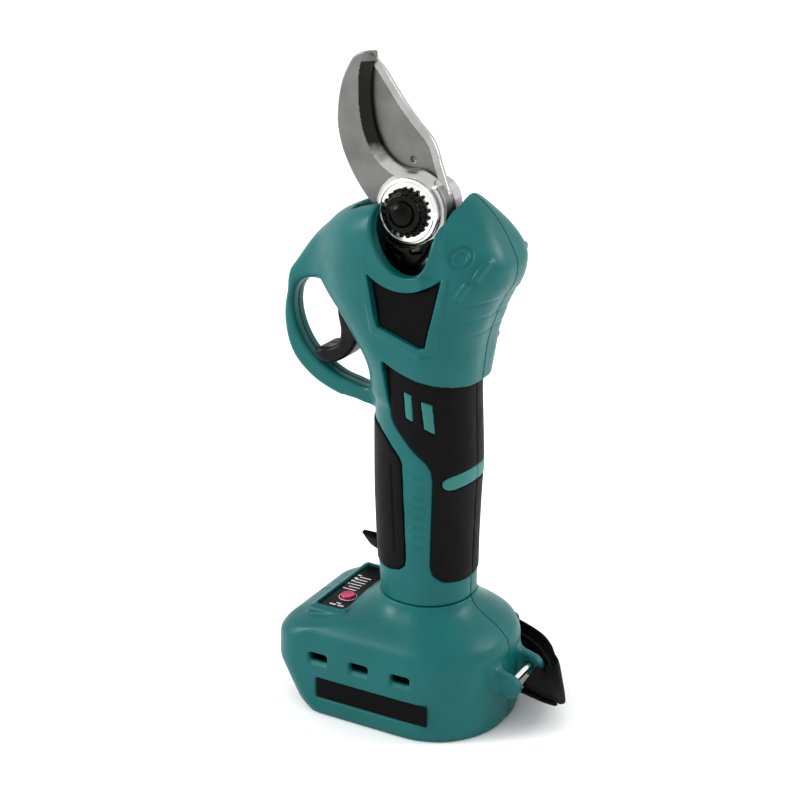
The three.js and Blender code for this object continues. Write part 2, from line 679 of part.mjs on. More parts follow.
function webbingSkin(rows) {
  return skin(webbingFrames(rows).map(({ centre, across, face }) =>
    [[1, 1], [-1, 1], [-1, -1], [1, -1]].map(([a, b]) => centre.clone()
      .addScaledVector(across, a * STRAP_WIDTH / 2)
      .addScaledVector(face, b * STRAP_THICK / 2)
      .toArray())));
}

function strap() {
  const back = webbingFrames(STRAP_ROUTE).map(({ centre, across, face }, i) => [
    ...centre.clone().addScaledVector(face, STRAP_ROUTE[i][6]).toArray(),
    ...across.toArray(),
  ]);
  return webbingSkin([...STRAP_ROUTE, STRAP_END, ...back.reverse()]);
}

// ---------- the tool ----------
const tool = new THREE.Group();
tool.position.x = HANDLE_X;

function add(name, manifold, material) {
  const mesh = new THREE.Mesh(geometryOf(manifold), material());
  mesh.name = name;
  tool.add(mesh);
}

function addShells() {
  const [bodyLeft, bodyRight] = bodyShells();
  add('body_left_shell', bodyLeft, teal);
  add('body_right_shell', bodyRight, teal);
  const [baseLeft, baseRight] = baseShells();
  add('base_left_shell', baseLeft, teal);
  add('base_right_shell', baseRight, teal);
  const rearGrip = gripLeft(REAR_GRIP);
  const frontGrip = gripLeft(FRONT_GRIP);
  add('grip_rear_left', rearGrip, rubber);
  add('grip_rear_right', mirrorY(rearGrip), rubber);
  add('grip_front_left', frontGrip, rubber);
  add('grip_front_right', mirrorY(frontGrip), rubber);
  const plate = prism(shieldShape(0.5), -HEAD_HALF + 0.2, -HEAD_HALF + 1.1);
  add('side_plate_left', plate, blackPlastic);
  add('side_plate_right', mirrorY(plate), blackPlastic);
  const label = box([LABEL.x[0] + GAP, LABEL.x[1] - GAP], [-FOOT_HALF + 0.2, -FOOT_HALF + 0.9],
    [LABEL.z[0] + GAP, LABEL.z[1] - GAP]);
  add('rating_plate_left', label, blackPlastic);
  add('rating_plate_right', mirrorY(label), blackPlastic);
}

function addElectrics() {
  const panel = slab(roundedRect(...PANEL.x, -PANEL.half, PANEL.half, 2), ...PANEL.z);
  add('indicator_panel', cut(panel, rodZ(BUTTON.x, BUTTON.y, BUTTON.r + 0.4, 30, 60)), blackPlastic);
  add('power_button', rodZ(BUTTON.x, BUTTON.y, BUTTON.r, 42.6, 48.4), red);
  add('indicator_board', box([-42, -30], [-20, 20], [38.6, 40.2]), board);
  add('controller_board', box([-34, 27], [-26, 26], [33, 34.6]), board);
  add('terminal_block', box([-6.4, 14.4], [-17.8, 17.8], [10.4, 24]), blackPlastic);
  add('terminal_positive', box([-4, 8], [-10.8, -10], [4, 10.1]), copper);
  add('terminal_negative', box([-4, 8], [10, 10.8], [4, 10.1]), copper);
}

function addDrive() {
  add('motor_can', motorCan(), brightSteel);
  add('motor_stator', tubeZ(DRIVE_X, 15.2, 8.6, 82, 110), copper);
  add('motor_end_cap', tubeZ(DRIVE_X, 16.8, 2.6, 114.3, 117.4), blackPlastic);
  add('motor_rotor', rotor(), gearSteel);
  add('sun_gear', sunGear(), gearSteel);
  add('ring_gear', ringGear(), gearSteel);
  for (const index of [0, 1, 2]) {
    add(`planet_gear_${index + 1}`, planetGear(index), gearSteel);
  }
  add('planet_carrier', planetCarrier(), gearSteel);
  add('output_bearing', tubeZ(DRIVE_X, 10, 4.3, 192.6, 200), brightSteel);
  add('drive_pinion', drivePinion(), gearSteel);
  add('gear_head', gearHead(), castAlloy);
}

function addBlades() {
  add('fixed_blade', fixedBlade(), bladeSteel);
  add('moving_blade', movingBlade(), bladeSteel);
  add('pivot_bolt', pivotBolt(), blackSteel);
  add('pivot_ring', pivotRing(), brightSteel);
  add('lock_nut', lockNut(), blackSteel);
  add('lock_plate', cut(lockPlate(), rodY(DRIVE_X, PIVOT_Z, 14.2, -30, 0, 40)), blackSteel);
  add('lock_screw', screwY(...LOCK_SCREW, 1.6, 3, -9.4, [-21, -18.9]), blackSteel);
  BLADE_SCREWS.forEach(([x, z], i) => {
    add(`blade_screw_${i + 1}`, screwY(x, z, 2.4, 3.9, -2.8, [-17, FIXED_FRONT_Y - GAP]), brightSteel);
  });
}

function addTrigger() {
  add('trigger', trigger(), blackPlastic);
  add('trigger_pin', rodY(...TRIGGER_PIVOT, 1.5, -13, 13, 16), brightSteel);
  add('trigger_switch', box([-25.6, -18], [-6, 6], [177, 191]), blackPlastic);
}

function addFasteners() {
  const addScrew = (name, [x, z, headY]) =>
    add(name, screwY(x, z, 1.6, 3.2, -14, [headY - 2.2, headY]), blackSteel);
  BODY_SCREWS.forEach((at, i) => addScrew(`body_screw_${i + 1}`, at));
  BASE_SCREWS.forEach((at, i) => addScrew(`base_screw_${i + 1}`, at));
  add('strap_pin', rodY(EAR.x, EAR.z, 1.8, -12.8, 12.8, 16), brightSteel);
  add('strap', strap(), webbing);
}

addShells();
addElectrics();
addDrive();
addBlades();
addTrigger();
addFasteners();

export default tool;
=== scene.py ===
"""Battery electric pruner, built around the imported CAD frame. Metres; shapes are drawn in
millimetres about the handle's axis and moved into the frame by place()."""
import json
import math

import bmesh
import bpy
import numpy as np
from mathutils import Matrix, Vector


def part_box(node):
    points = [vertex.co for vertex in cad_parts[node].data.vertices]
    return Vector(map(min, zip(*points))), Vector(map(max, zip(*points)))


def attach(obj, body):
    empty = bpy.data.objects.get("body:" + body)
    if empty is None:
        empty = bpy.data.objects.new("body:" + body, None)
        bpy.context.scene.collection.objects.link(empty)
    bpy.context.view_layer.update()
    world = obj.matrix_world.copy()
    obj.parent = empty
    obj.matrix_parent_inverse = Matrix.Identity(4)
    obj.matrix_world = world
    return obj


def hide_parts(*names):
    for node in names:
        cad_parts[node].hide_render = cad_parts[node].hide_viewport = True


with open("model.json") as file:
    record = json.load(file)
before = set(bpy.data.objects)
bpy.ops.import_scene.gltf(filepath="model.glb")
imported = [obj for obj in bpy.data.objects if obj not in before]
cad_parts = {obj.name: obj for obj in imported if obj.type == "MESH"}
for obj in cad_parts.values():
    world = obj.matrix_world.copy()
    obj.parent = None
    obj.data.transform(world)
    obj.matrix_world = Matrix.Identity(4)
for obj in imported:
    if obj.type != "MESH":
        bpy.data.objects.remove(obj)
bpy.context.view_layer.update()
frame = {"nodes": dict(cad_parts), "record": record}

import openvdb as vdb
from mathutils import Matrix, Vector

MM = 0.001
VOXEL = 0.55  # mm, the grid that the moulded pieces are meshed on

# ---------- places, in mm about the handle's axis ----------
DRIVE_X = -1.2
PIVOT_Z = 230.6
RING_Z = 57.0
HEAD_HALF = 26.0
GRIP_DEPTH = 1.8
GRIP_PROUD = 0.5
SEAM = 0.12  # half of the gap at the line where two shells meet
TRIGGER_HALF = 8.0
WALL = 3.0  # thickness of the body's shells; the foot's are a little thicker
FOOT_WALL = 3.2
MOTOR_ROOM_R = 17.2  # bore that the motor and its reducer stand in
PIVOT_HOLE_R = 4.5
HOOK_FRONT_Y, HOOK_BACK_Y = -14.4, -9.0
CUTTER_FRONT_Y, CUTTER_BACK_Y = -8.7, -4.9
SECTOR_TEETH = 42  # teeth in a full turn of the cutter's face gear

# ---------- how finely things are made ----------
CURVE_STEPS = 12
ARC_STEPS = 8
BEVEL_ANGLE = math.radians(30)
RIBBON_STEP = 1.3  # mm between the sections of the webbing
RIBBON_ACROSS = 8  # steps across each of its faces


def middle(node):
    low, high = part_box(node)
    return (Vector(low) + Vector(high)) / 2


HANDLE_X = middle("motor_can").x / MM - DRIVE_X


def place(x, y, z):
    return Vector(((x + HANDLE_X) * MM, y * MM, z * MM))


# ---------- camera ----------
AZIMUTH = math.radians(29)
ELEVATION = math.radians(20)
DISTANCE = 0.700
FOCAL = 73.4
LOOK = place(0, 0, 145)
SIDESTEP = 0.012  # the handle stands this far right of the picture's middle


def make_camera():
    right = Vector((math.cos(AZIMUTH), math.sin(AZIMUTH), 0))
    forward = Vector((-math.sin(AZIMUTH) * math.cos(ELEVATION),
                      math.cos(AZIMUTH) * math.cos(ELEVATION), -math.sin(ELEVATION)))
    data = bpy.data.cameras.new("camera")
    data.lens = FOCAL
    data.sensor_width = 36
    camera = bpy.data.objects.new("camera", data)
    camera.location = LOOK - forward * DISTANCE - right * SIDESTEP
    camera.rotation_euler = forward.to_track_quat("-Z", "Y").to_euler()
    bpy.context.scene.collection.objects.link(camera)
    bpy.context.scene.camera = camera


make_camera()


# ---------- objects from meshes ----------
def link(name, mesh, material, body="housing", smooth=True):
    piece = bpy.data.objects.new(name, mesh)
    bpy.context.scene.collection.objects.link(piece)
    mesh.materials.append(material)
    if smooth:
        mesh.shade_smooth()
    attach(piece, body)
    return piece


def mesh_from(name, vertices, faces):
    mesh = bpy.data.meshes.new(name)
    mesh.from_pydata([tuple(v) for v in vertices], [], faces)
    mesh.validate()
    shape = bmesh.new()
    shape.from_mesh(mesh)
    bmesh.ops.recalc_face_normals(shape, faces=shape.faces)
    shape.to_mesh(mesh)
    shape.free()
    return mesh


def apply_modifiers(piece):
    graph = bpy.context.evaluated_depsgraph_get()
    done = bpy.data.meshes.new_from_object(piece.evaluated_get(graph))
    old = piece.data
    piece.modifiers.clear()
    piece.data = done
    bpy.data.meshes.remove(old)


def bevelled(piece, width, segments):
    bevel = piece.modifiers.new("edges", "BEVEL")
    bevel.width = width * MM
    bevel.segments = segments
    bevel.limit_method = "ANGLE"
    bevel.angle_limit = BEVEL_ANGLE
    bevel.harden_normals = True
    apply_modifiers(piece)


def smooth_curve(points, count, closed=False):
    """Points along a Catmull-Rom curve through the given ones."""
    points = np.array(points, float)
    spans = len(points) if closed else len(points) - 1
    out = []
    for i in range(count if closed else count + 1):
        t = i / count * spans
        k = min(int(t), spans - 1)
        t -= k
        if closed:
            a, b, c, d = (points[(k + j) % len(points)] for j in (-1, 0, 1, 2))
        else:
            a, b, c, d = (points[min(max(k + j, 0), len(points) - 1)] for j in (-1, 0, 1, 2))
            if k == 0:
                a = 2 * b - c
            if k == spans - 1:
                d = 2 * c - b
        out.append(0.5 * (2 * b + (c - a) * t + (2 * a - 5 * b + 4 * c - d) * t * t
                          + (3 * b - a - 3 * c + d) * t ** 3))
    return [tuple(p) for p in out]


def turned(name, profile, centre, axis, material, body="housing", sides=64):
    """A profile of (radius, height) turned about an axis through centre; heights run along it."""
    turn = Vector(axis).to_track_quat("Z", "Y").to_matrix()
    vertices, faces = [], []
    for i in range(sides):
        angle = 2 * math.pi * i / sides
        for r, h in profile:
            local = Vector((r * math.cos(angle), r * math.sin(angle), h)) * MM
            vertices.append(centre + turn @ local)
    rows = len(profile)
    for i in range(sides):
        for j in range(rows - 1):
            a, b = i * rows + j, ((i + 1) % sides) * rows + j
            faces.append((a, b, b + 1, a + 1))
    mesh = mesh_from(name, vertices, faces)
    shape = bmesh.new()
    shape.from_mesh(mesh)
    bmesh.ops.remove_doubles(shape, verts=shape.verts, dist=1e-6)
    bmesh.ops.recalc_face_normals(shape, faces=shape.faces)
    shape.to_mesh(mesh)
    shape.free()
    piece = link(name, mesh, material, body)
    mesh.set_sharp_from_angle(angle=math.radians(35))
    return piece


# ---------- materials ----------
def new_material(name):
    material = bpy.data.materials.new(name)
    material.use_nodes = True
    tree = material.node_tree
    return material, tree, tree.nodes["Principled BSDF"]


def grain(tree, scale, detail):
    """Object-space noise; scale counts features in a metre."""
    coordinates = tree.nodes.new("ShaderNodeTexCoord")
    noise = tree.nodes.new("ShaderNodeTexNoise")
    noise.inputs["Scale"].default_value = scale
    noise.inputs["Detail"].default_value = detail
    tree.links.new(coordinates.outputs["Object"], noise.inputs["Vector"])
    return noise


def spread(tree, source, low, high, start=0.3, end=0.7):
    ramp = tree.nodes.new("ShaderNodeMapRange")
    ramp.inputs["From Min"].default_value = start
    ramp.inputs["From Max"].default_value = end
    ramp.inputs["To Min"].default_value = low
    ramp.inputs["To Max"].default_value = high
    tree.links.new(source, ramp.inputs["Value"])
    return ramp.outputs["Result"]


def colour_between(tree, source, dark, light, start=0.3, end=0.7):
    ramp = tree.nodes.new("ShaderNodeValToRGB")
    ramp.color_ramp.elements[0].position = start
    ramp.color_ramp.elements[0].color = (*dark, 1)
    ramp.color_ramp.elements[1].position = end
    ramp.color_ramp.elements[1].color = (*light, 1)
    tree.links.new(source, ramp.inputs["Fac"])
    return ramp.outputs["Color"]


def bump(tree, shader, height, depth):
    """Relief of a depth in mm."""
    node = tree.nodes.new("ShaderNodeBump")
    node.inputs["Distance"].default_value = depth * MM
    node.inputs["Strength"].default_value = 1.0
    tree.links.new(height, node.inputs["Height"])
    tree.links.new(node.outputs["Normal"], shader.inputs["Normal"])


def plastic(name, dark, light, rough=(0.36, 0.46), grain_mm=0.35, depth=0.02, specular=0.5):
    material, tree, shader = new_material(name)
    cloud = grain(tree, 60, 3)
    colour = colour_between(tree, cloud.outputs["Fac"], dark, light)
    tree.links.new(colour, shader.inputs["Base Color"])
    tree.links.new(spread(tree, grain(tree, 180, 4).outputs["Fac"], *rough), shader.inputs["Roughness"])
    bump(tree, shader, grain(tree, 1000 / grain_mm, 1).outputs["Fac"], depth)
    shader.inputs["Specular IOR Level"].default_value = specular
    return material


def steel(name, dark, light, rough=(0.22, 0.36), lines=(1, 1, 12), depth=0.004):
    """Ground or polished metal with fine lines across the direction that lines stretches."""
    material, tree, shader = new_material(name)
    coordinates = tree.nodes.new("ShaderNodeTexCoord")
    stretch = tree.nodes.new("ShaderNodeMapping")
    stretch.inputs["Scale"].default_value = lines
    fine = tree.nodes.new("ShaderNodeTexNoise")
    fine.inputs["Scale"].default_value = 900
    fine.inputs["Detail"].default_value = 3
    tree.links.new(coordinates.outputs["Object"], stretch.inputs["Vector"])
    tree.links.new(stretch.outputs["Vector"], fine.inputs["Vector"])
    cloud = grain(tree, 90, 3)
    tree.links.new(colour_between(tree, cloud.outputs["Fac"], dark, light), shader.inputs["Base Color"])
    tree.links.new(spread(tree, fine.outputs["Fac"], *rough), shader.inputs["Roughness"])
    shader.inputs["Metallic"].default_value = 1.0
    bump(tree, shader, fine.outputs["Fac"], depth)
    return material


def hollow_ground_painted_highlight():
    """The hook's hollow-ground flank, with a painted highlight: its colour is bright near the pivot, at the
    bottom, and dark towards the tip.
    """
    material = steel("blade_hollow_painted_highlight", (0.1, 0.1, 0.1), (0.14, 0.14, 0.14), rough=(0.18, 0.3),
                     lines=(1, 1, 0.12))
    tree = material.node_tree
    shader = tree.nodes["Principled BSDF"]
    where = tree.nodes.new("ShaderNodeTexCoord")
    split = tree.nodes.new("ShaderNodeSeparateXYZ")
    tree.links.new(where.outputs["Object"], split.inputs["Vector"])
    # painted highlight: the flank is coloured bright below z 247.5 mm, fading to dark by 258 mm
    height = spread(tree, split.outputs["Z"], 1, 0, 0.2475, 0.258)
    cloud = spread(tree, grain(tree, 260, 3).outputs["Fac"], -0.14, 0.14)
    total = tree.nodes.new("ShaderNodeMath")
    total.operation = "ADD"
    tree.links.new(height, total.inputs[0])
    tree.links.new(cloud, total.inputs[1])
    colour = colour_between(tree, total.outputs[0], (0.03, 0.03, 0.028), (0.5, 0.5, 0.49), 0.15, 0.95)
    tree.links.new(colour, shader.inputs["Base Color"])
    return material


TEAL = plastic("teal_plastic", (0.0015, 0.098, 0.097), (0.0025, 0.114, 0.112), rough=(0.34, 0.43),
               specular=0.32)
TEAL_DARK = plastic("teal_insert", (0.010, 0.135, 0.120), (0.013, 0.155, 0.138), rough=(0.4, 0.5))
RUBBER = plastic("black_rubber", (0.0035, 0.0035, 0.0038), (0.006, 0.006, 0.0063), rough=(0.5, 0.62),
                 grain_mm=0.5, depth=0.04, specular=0.12)
BLACK = plastic("black_plastic", (0.003, 0.003, 0.0034), (0.0055, 0.0055, 0.006), rough=(0.35, 0.5),
                specular=0.25)
GLOSS_BLACK = plastic("black_label", (0.0015, 0.0015, 0.0015), (0.003, 0.003, 0.003), rough=(0.3, 0.4),
                      depth=0.003, specular=0.1)
BLADE = steel("blade_steel", (0.155, 0.155, 0.15), (0.20, 0.20, 0.195), rough=(0.36, 0.48),
              lines=(1, 1, 0.12))
BLADE_EDGE = steel("blade_ground", (0.4, 0.4, 0.39), (0.52, 0.52, 0.51), rough=(0.16, 0.26),
                   lines=(1, 1, 0.12))
BLADE_HOLLOW_PAINTED_HIGHLIGHT = hollow_ground_painted_highlight()
BRIGHT = steel("bright_steel", (0.74, 0.74, 0.73), (0.85, 0.85, 0.84), rough=(0.12, 0.24))
BLACK_STEEL = steel("black_oxide", (0.01, 0.01, 0.01), (0.022, 0.022, 0.021), rough=(0.22, 0.34),
                    lines=(1, 1, 1))
ALLOY = steel("cast_alloy", (0.36, 0.36, 0.37), (0.46, 0.46, 0.47), rough=(0.4, 0.6), lines=(1, 1, 1),
              depth=0.03)
GEAR = steel("gear_steel", (0.3, 0.3, 0.31), (0.4, 0.4, 0.41), rough=(0.25, 0.4), lines=(1, 1, 6))
COPPER = steel("copper", (0.5, 0.2, 0.08), (0.62, 0.28, 0.12), rough=(0.25, 0.4))
BOARD = plastic("circuit_board", (0.004, 0.05, 0.02), (0.008, 0.08, 0.035), rough=(0.3, 0.45), specular=0.5)
RED = plastic("red_key", (0.36, 0.008, 0.07), (0.45, 0.012, 0.10), rough=(0.25, 0.35))
PALE = plastic("pale_mark", (0.55, 0.50, 0.52), (0.66, 0.6, 0.62), rough=(0.4, 0.5))


# ---------- distance fields for the moulded pieces, in mm ----------
def steps(low, high, voxel):
    return np.arange(low, high + voxel, voxel, dtype=np.float32)


class Block:
    """A box of sample points: x, y and z broadcast against each other."""

    def __init__(self, x, y, z, voxel=VOXEL):
        self.low = (x[0], y[0], z[0])
        self.voxel = voxel
        self.x = steps(*x, voxel)[:, None, None]
        self.y = steps(*y, voxel)[None, :, None]
        self.z = steps(*z, voxel)[None, None, :]


def smax(a, b, k):
    h = np.maximum(k - np.abs(a - b), 0) / k
    return np.maximum(a, b) + h * h * (k / 4)


def smin(a, b, k):
    return -smax(-a, -b, k)


def carve(a, b, k=0.6):
    """a with b taken away, the new edge rounded over k."""
    return smax(a, -b, k)


def eased(table, column, at, sigma):
    """A column of a table against its first column, smoothed over sigma."""
    keys = np.array([row[0] for row in table], float)
    values = np.array([row[column] for row in table], float)
    fine = np.arange(keys[0] - 4 * sigma, keys[-1] + 4 * sigma, 0.25)
    line = np.interp(fine, keys, values)
    reach = np.arange(-3 * sigma, 3 * sigma + 0.25, 0.25)
    weights = np.exp(-0.5 * (reach / sigma) ** 2)
    padded = np.pad(line, len(reach) // 2, mode="edge")
    line = np.convolve(padded, weights / weights.sum(), mode="valid")[:len(fine)]
    return np.interp(at, fine, line).astype(np.float32)


def plan_field(b, table, sigma, grow=0.0):
    """Sections in plan stacked along Z; a row is z, front, rear, half, front radius, rear radius."""
    z = b.z.ravel()
    front, rear, half, front_r, rear_r = (
        eased(table, column, z, sigma)[None, None, :] for column in range(1, 6))
    centre = (front + rear) / 2
    radius = np.where(b.x > centre, rear_r, front_r) + grow
    qx = np.abs(b.x - centre) - (rear - front) / 2 - grow + radius
    qy = np.abs(b.y) - half - grow + radius
    inside = np.minimum(np.maximum(qx, qy), 0)
    return inside + np.hypot(np.maximum(qx, 0), np.maximum(qy, 0)) - radius


def side_field(b, table, sigma):
    """Sections across the tool stacked along X; a row is x, bottom, top, half, radius."""
    x = b.x.ravel()
    bottom, top, half, radius = (
        eased(table, column, x, sigma)[:, None, None] for column in range(1, 5))
    qy = np.abs(b.y) - half + radius
    qz = np.abs(b.z - (top + bottom) / 2) - (top - bottom) / 2 + radius
    inside = np.minimum(np.maximum(qy, qz), 0)
    return inside + np.hypot(np.maximum(qy, 0), np.maximum(qz, 0)) - radius


def box_field(b, x, y, z, radius=0.0):
    parts = []
    for at, (low, high) in ((b.x, x), (b.y, y), (b.z, z)):
        parts.append(np.abs(at - (low + high) / 2) - (high - low) / 2 + radius)
    outside = np.sqrt(sum(np.maximum(q, 0) ** 2 for q in parts))
    return outside + np.minimum(np.maximum(np.maximum(parts[0], parts[1]), parts[2]), 0) - radius


def outline_field(u, v, points):
    """Signed distance from a closed outline in a plane, negative inside."""
    nearest = np.full(np.broadcast(u, v).shape, 1e9, np.float32)
    inside = np.zeros(nearest.shape, bool)
    for (ax, ay), (bx, by) in zip(points, [*points[1:], points[0]]):
        ex, ey = bx - ax, by - ay
        t = np.clip(((u - ax) * ex + (v - ay) * ey) / max(ex * ex + ey * ey, 1e-9), 0, 1)
        nearest = np.minimum(nearest, (u - ax - t * ex) ** 2 + (v - ay - t * ey) ** 2)
        crosses = ((ay > v) != (by > v)) & (u < ex * (v - ay) / (ey if ey else 1e-9) + ax)
        inside ^= crosses
    return np.where(inside, -1, 1) * np.sqrt(nearest)


def line_field(u, v, points):
    """Distance from an open line in a plane."""
    nearest = np.full(np.broadcast(u, v).shape, 1e9, np.float32)
    for (ax, ay), (bx, by) in zip(points, points[1:]):
        ex, ey = bx - ax, by - ay
        t = np.clip(((u - ax) * ex + (v - ay) * ey) / max(ex * ex + ey * ey, 1e-9), 0, 1)
        nearest = np.minimum(nearest, (u - ax - t * ex) ** 2 + (v - ay - t * ey) ** 2)
    return np.sqrt(nearest)


def xz(b, function, points):
    """A field of the X-Z plane, for every y."""
    return function(b.x[:, 0, :], b.z[:, 0, :], points)[:, None, :]


def ridge(distance, width, soft=0.6):
    """1 within width of a line, falling to 0 over soft."""
    t = np.clip((width + soft - distance) / (2 * soft), 0, 1)
    return t * t * (3 - 2 * t)


def moulded(name, block, field, material, body="housing"):
    grid = vdb.FloatGrid(3.0)
    grid.copyFromArray(np.clip(field, -3, 3).astype(np.float32), tolerance=0.0)
    points, quads = grid.convertToQuads(0.0)
    points = (points * block.voxel + np.array(block.low) + np.array([HANDLE_X, 0, 0])) * MM
    a, b, c = points[quads[:, 0]], points[quads[:, 1]], points[quads[:, 2]]
    if np.einsum("ij,ij->", a, np.cross(b - points.mean(0), c - points.mean(0))) < 0:
        quads = quads[:, ::-1]
    mesh = bpy.data.meshes.new(name)
    mesh.vertices.add(len(points))
    mesh.vertices.foreach_set("co", points.astype(np.float32).ravel())
    mesh.loops.add(quads.size)
    mesh.loops.foreach_set("vertex_index", quads.astype(np.int32).ravel())
    mesh.polygons.add(len(quads))
    mesh.polygons.foreach_set("loop_start", np.arange(0, quads.size, 4, dtype=np.int32))
    mesh.update(calc_edges=True)
    mesh.validate()
    return link(name, mesh, material, body)


# ---------- the body ----------
HANDLE = [
    (57, -19.8, 21.9, 21.4, 20, 20), (68, -20.4, 22, 21.6, 20, 20), (84, -21.4, 22.3, 22.2, 21, 21),
    (105, -22, 23, 22.5, 21, 21), (116, -22, 23.7, 22.6, 21, 21), (126, -22, 23.5, 22.6, 21, 21),
    (150, -22, 22.6, 22.4, 21, 21), (180, -22, 22.6, 22.4, 21, 21),
]
HEAD = [
    (150, -22, 24.5, 23.2, 20, 20), (160, -23, 25.8, 24.6, 20, 20), (167, -26, 26.7, 25.6, 21, 20),
    (178, -34, 28.2, 26, 23, 20), (193, -42, 33.6, 26, 24, 20), (203, -42, 39.9, 26, 24, 21),
    (211, -40, 41.2, 26, 24, 21), (218, -37, 38.2, 26, 23, 19), (224, -34, 34.6, 25.6, 22, 17),
    (230.5, -26, 30, 24.4, 18, 14), (235, -6, 26.2, 22.4, 13, 11), (240, 9, 22.5, 18, 7, 7),
]
HEAD_SOFT = 2.2  # mm along Z that the head's sections are smoothed over
ROOF_X = (-26, 14, 20, 30, 44)
ROOF_Z = (255, 239.6, 238.4, 232.4, 223)
ROOF_SLOPE = 0.78
ARM = [
    (-65, 189, 195, 4.8, 2.4), (-57, 193, 205.6, 6, 3), (-48, 193, 216.4, 10, 5), (-38, 190, 224, 16, 8),
    (-27, 186, 229.3, 22, 11), (-16, 186, 231, 25, 11), (-10, 186, 231.5, 25.5, 11),
]
GUARD_OUTER = [
    (-30, 222), (-47.4, 216), (-58.8, 204), (-66.4, 190), (-69.4, 174), (-66, 158.5),
    (-56, 148), (-42.5, 142), (-31, 140), (-25, 133), (-15, 126),
]
FINGER_LOOP = [
    (-25.8, 149.2), (-36.8, 149.4), (-46, 152.6), (-56.5, 160), (-62.6, 170), (-64.6, 180),
    (-62.6, 189), (-57, 193.4), (-50, 193.8), (-45.5, 191), (-37, 180.3), (-29, 168.5),
]


def bezier(a, b, c, d):
    """Points along a cubic curve with two end points and two handles."""
    out = []
    for i in range(CURVE_STEPS + 1):
        t = i / CURVE_STEPS
        out.append(tuple((1 - t) ** 3 * p + 3 * (1 - t) ** 2 * t * q + 3 * (1 - t) * t * t * r + t ** 3 * s
                         for p, q, r, s in zip(a, b, c, d)))
    return out


WINDOW = [
    (-13.5, 250), *bezier((-12.2, 226), (-10.5, 214), (-4, 206.6), (4, 206.6)),
    *bezier((4, 206.6), (11, 206.6), (13.2, 213), (14.4, 224))[1:], (16.2, 231), (19.5, 240), (23, 250),
]
SHIELD = [
    (-13.8, 206.3), (-9.8, 183.9), (9.4, 176.9), (12, 177.4), (19.3, 207),
    *bezier((19.3, 207), (8, 198.2), (-4, 198.2), (-13.8, 206.3))[1:-1],
]
FRONT_GRIP = [
    (-40, 142), (-22, 139.6), (-14, 137.3), (-9, 133.5), (-1.8, 126), (-0.6, 123), (-0.4, 118), (1, 80),
    (0.4, 75.8), (-2.4, 73.2), (-8, 72), (-40, 72),
]
REAR_GRIP = [
    (-8.2, 168.6), (-8.6, 166), (-5.6, 143.5), (-4.6, 141), (3.1, 131.8), (10.4, 125), (12.4, 121.5),
    (13, 117), (11.7, 77), (12.6, 72.4), (16, 69), (22, 67.2), (40, 66.4),
    (40, 157.5), (24, 158.6), (14, 160.4), (6, 162.2), (-1.5, 165), (-5, 166.8),
]


def guard_field(b):
    ring = np.maximum(xz(b, outline_field, smooth_curve(GUARD_OUTER, 60) + [(-15, 222)]),
                      -xz(b, outline_field, smooth_curve(FINGER_LOOP, 64, closed=True)))
    radius = 2.4
    q1, q2 = ring + radius, np.abs(b.y) - 5.5 + radius
    return np.minimum(np.maximum(q1, q2), 0) + np.hypot(np.maximum(q1, 0), np.maximum(q2, 0)) - radius


def roof_field(b):
    """The two slopes that fall away from the ridge along the top of the head."""
    roof = np.interp(b.x, ROOF_X, ROOF_Z) - ROOF_SLOPE * (np.hypot(b.y, 5) - 5)
    return (b.z - roof) / math.hypot(1, ROOF_SLOPE)


def body_field(b):
    """The whole body's outside, and the handle's own field for the grips."""
    handle = plan_field(b, HANDLE, 2)
    head = smax(plan_field(b, HEAD, HEAD_SOFT), 150 - b.z, 4)
    head = smax(head, b.z - 239.2, 4)
    head = smax(head, roof_field(b), 5)
    arm = smax(side_field(b, ARM, 3), -65.5 - b.x, 3)
    upper = smin(head, smax(arm, b.x - 6, 4), 12)
    upper = smax(upper, -xz(b, outline_field, smooth_curve(FINGER_LOOP, 64, closed=True)), 5)
    whole = smin(np.maximum(handle, b.z - 176), upper, 5)
    whole = smin(whole, guard_field(b), 5)
    return np.maximum(whole, RING_Z + 0.25 - b.z), handle


BADGE = (26.6, 216.4)
BADGE_R = 4.4
BADGE_RING_R = 2.6
SLANT_BARS = (((36.0, 214.4), (32.8, 208.4)), ((29.6, 205.6), (25.6, 199.6)))
SHIELD_STEP = [(-17, 230), (-13, 181), (9, 172.6), (15.4, 174.6), (22.6, 207), (26, 232)]
REAR_RIBS_Z = (196.5, 189.5, 182.5)
COLUMN_RIBS = 8


def slant_bar(b, start, end, width):
    return xz(b, line_field, [start, end]) - width


def body_details(b, whole):
    """Lines, ribs and recesses that both sides of the body share, drawn in side view."""
    near = b.y < -10
    for start, end in SLANT_BARS:
        bar = ridge(slant_bar(b, start, end, 0.9), 0.35, 0.4)
        whole = whole - np.where(near, 1.1 * bar, 0)
    badge = np.hypot(b.x - BADGE[0], b.z - BADGE[1])
    dish = ridge(badge, BADGE_R, 0.4)
    ring = ridge(np.abs(badge - BADGE_RING_R), 0.35, 0.35)
    whole = whole + np.where(near, 0.8 * (dish - ring), 0)
    step = xz(b, outline_field, SHIELD_STEP)
    whole = whole - np.where(near & (b.z < 207), 0.8 * ridge(step, 0.0, 0.6), 0)
    for z in REAR_RIBS_Z:
        whole = whole + 0.55 * ridge(np.abs(b.z - z - 0.12 * (b.x - 30)), 0.3, 0.9) * ridge(26 - b.x, 0, 3.0)
    for i in range(COLUMN_RIBS):
        rib = slant_bar(b, (4.2, 118 - 4.6 * i), (8.8, 117.4 - 4.6 * i), 0.2)
        whole = whole - np.where(near, 0.55 * ridge(rib, 0.3, 0.4), 0)
    return whole


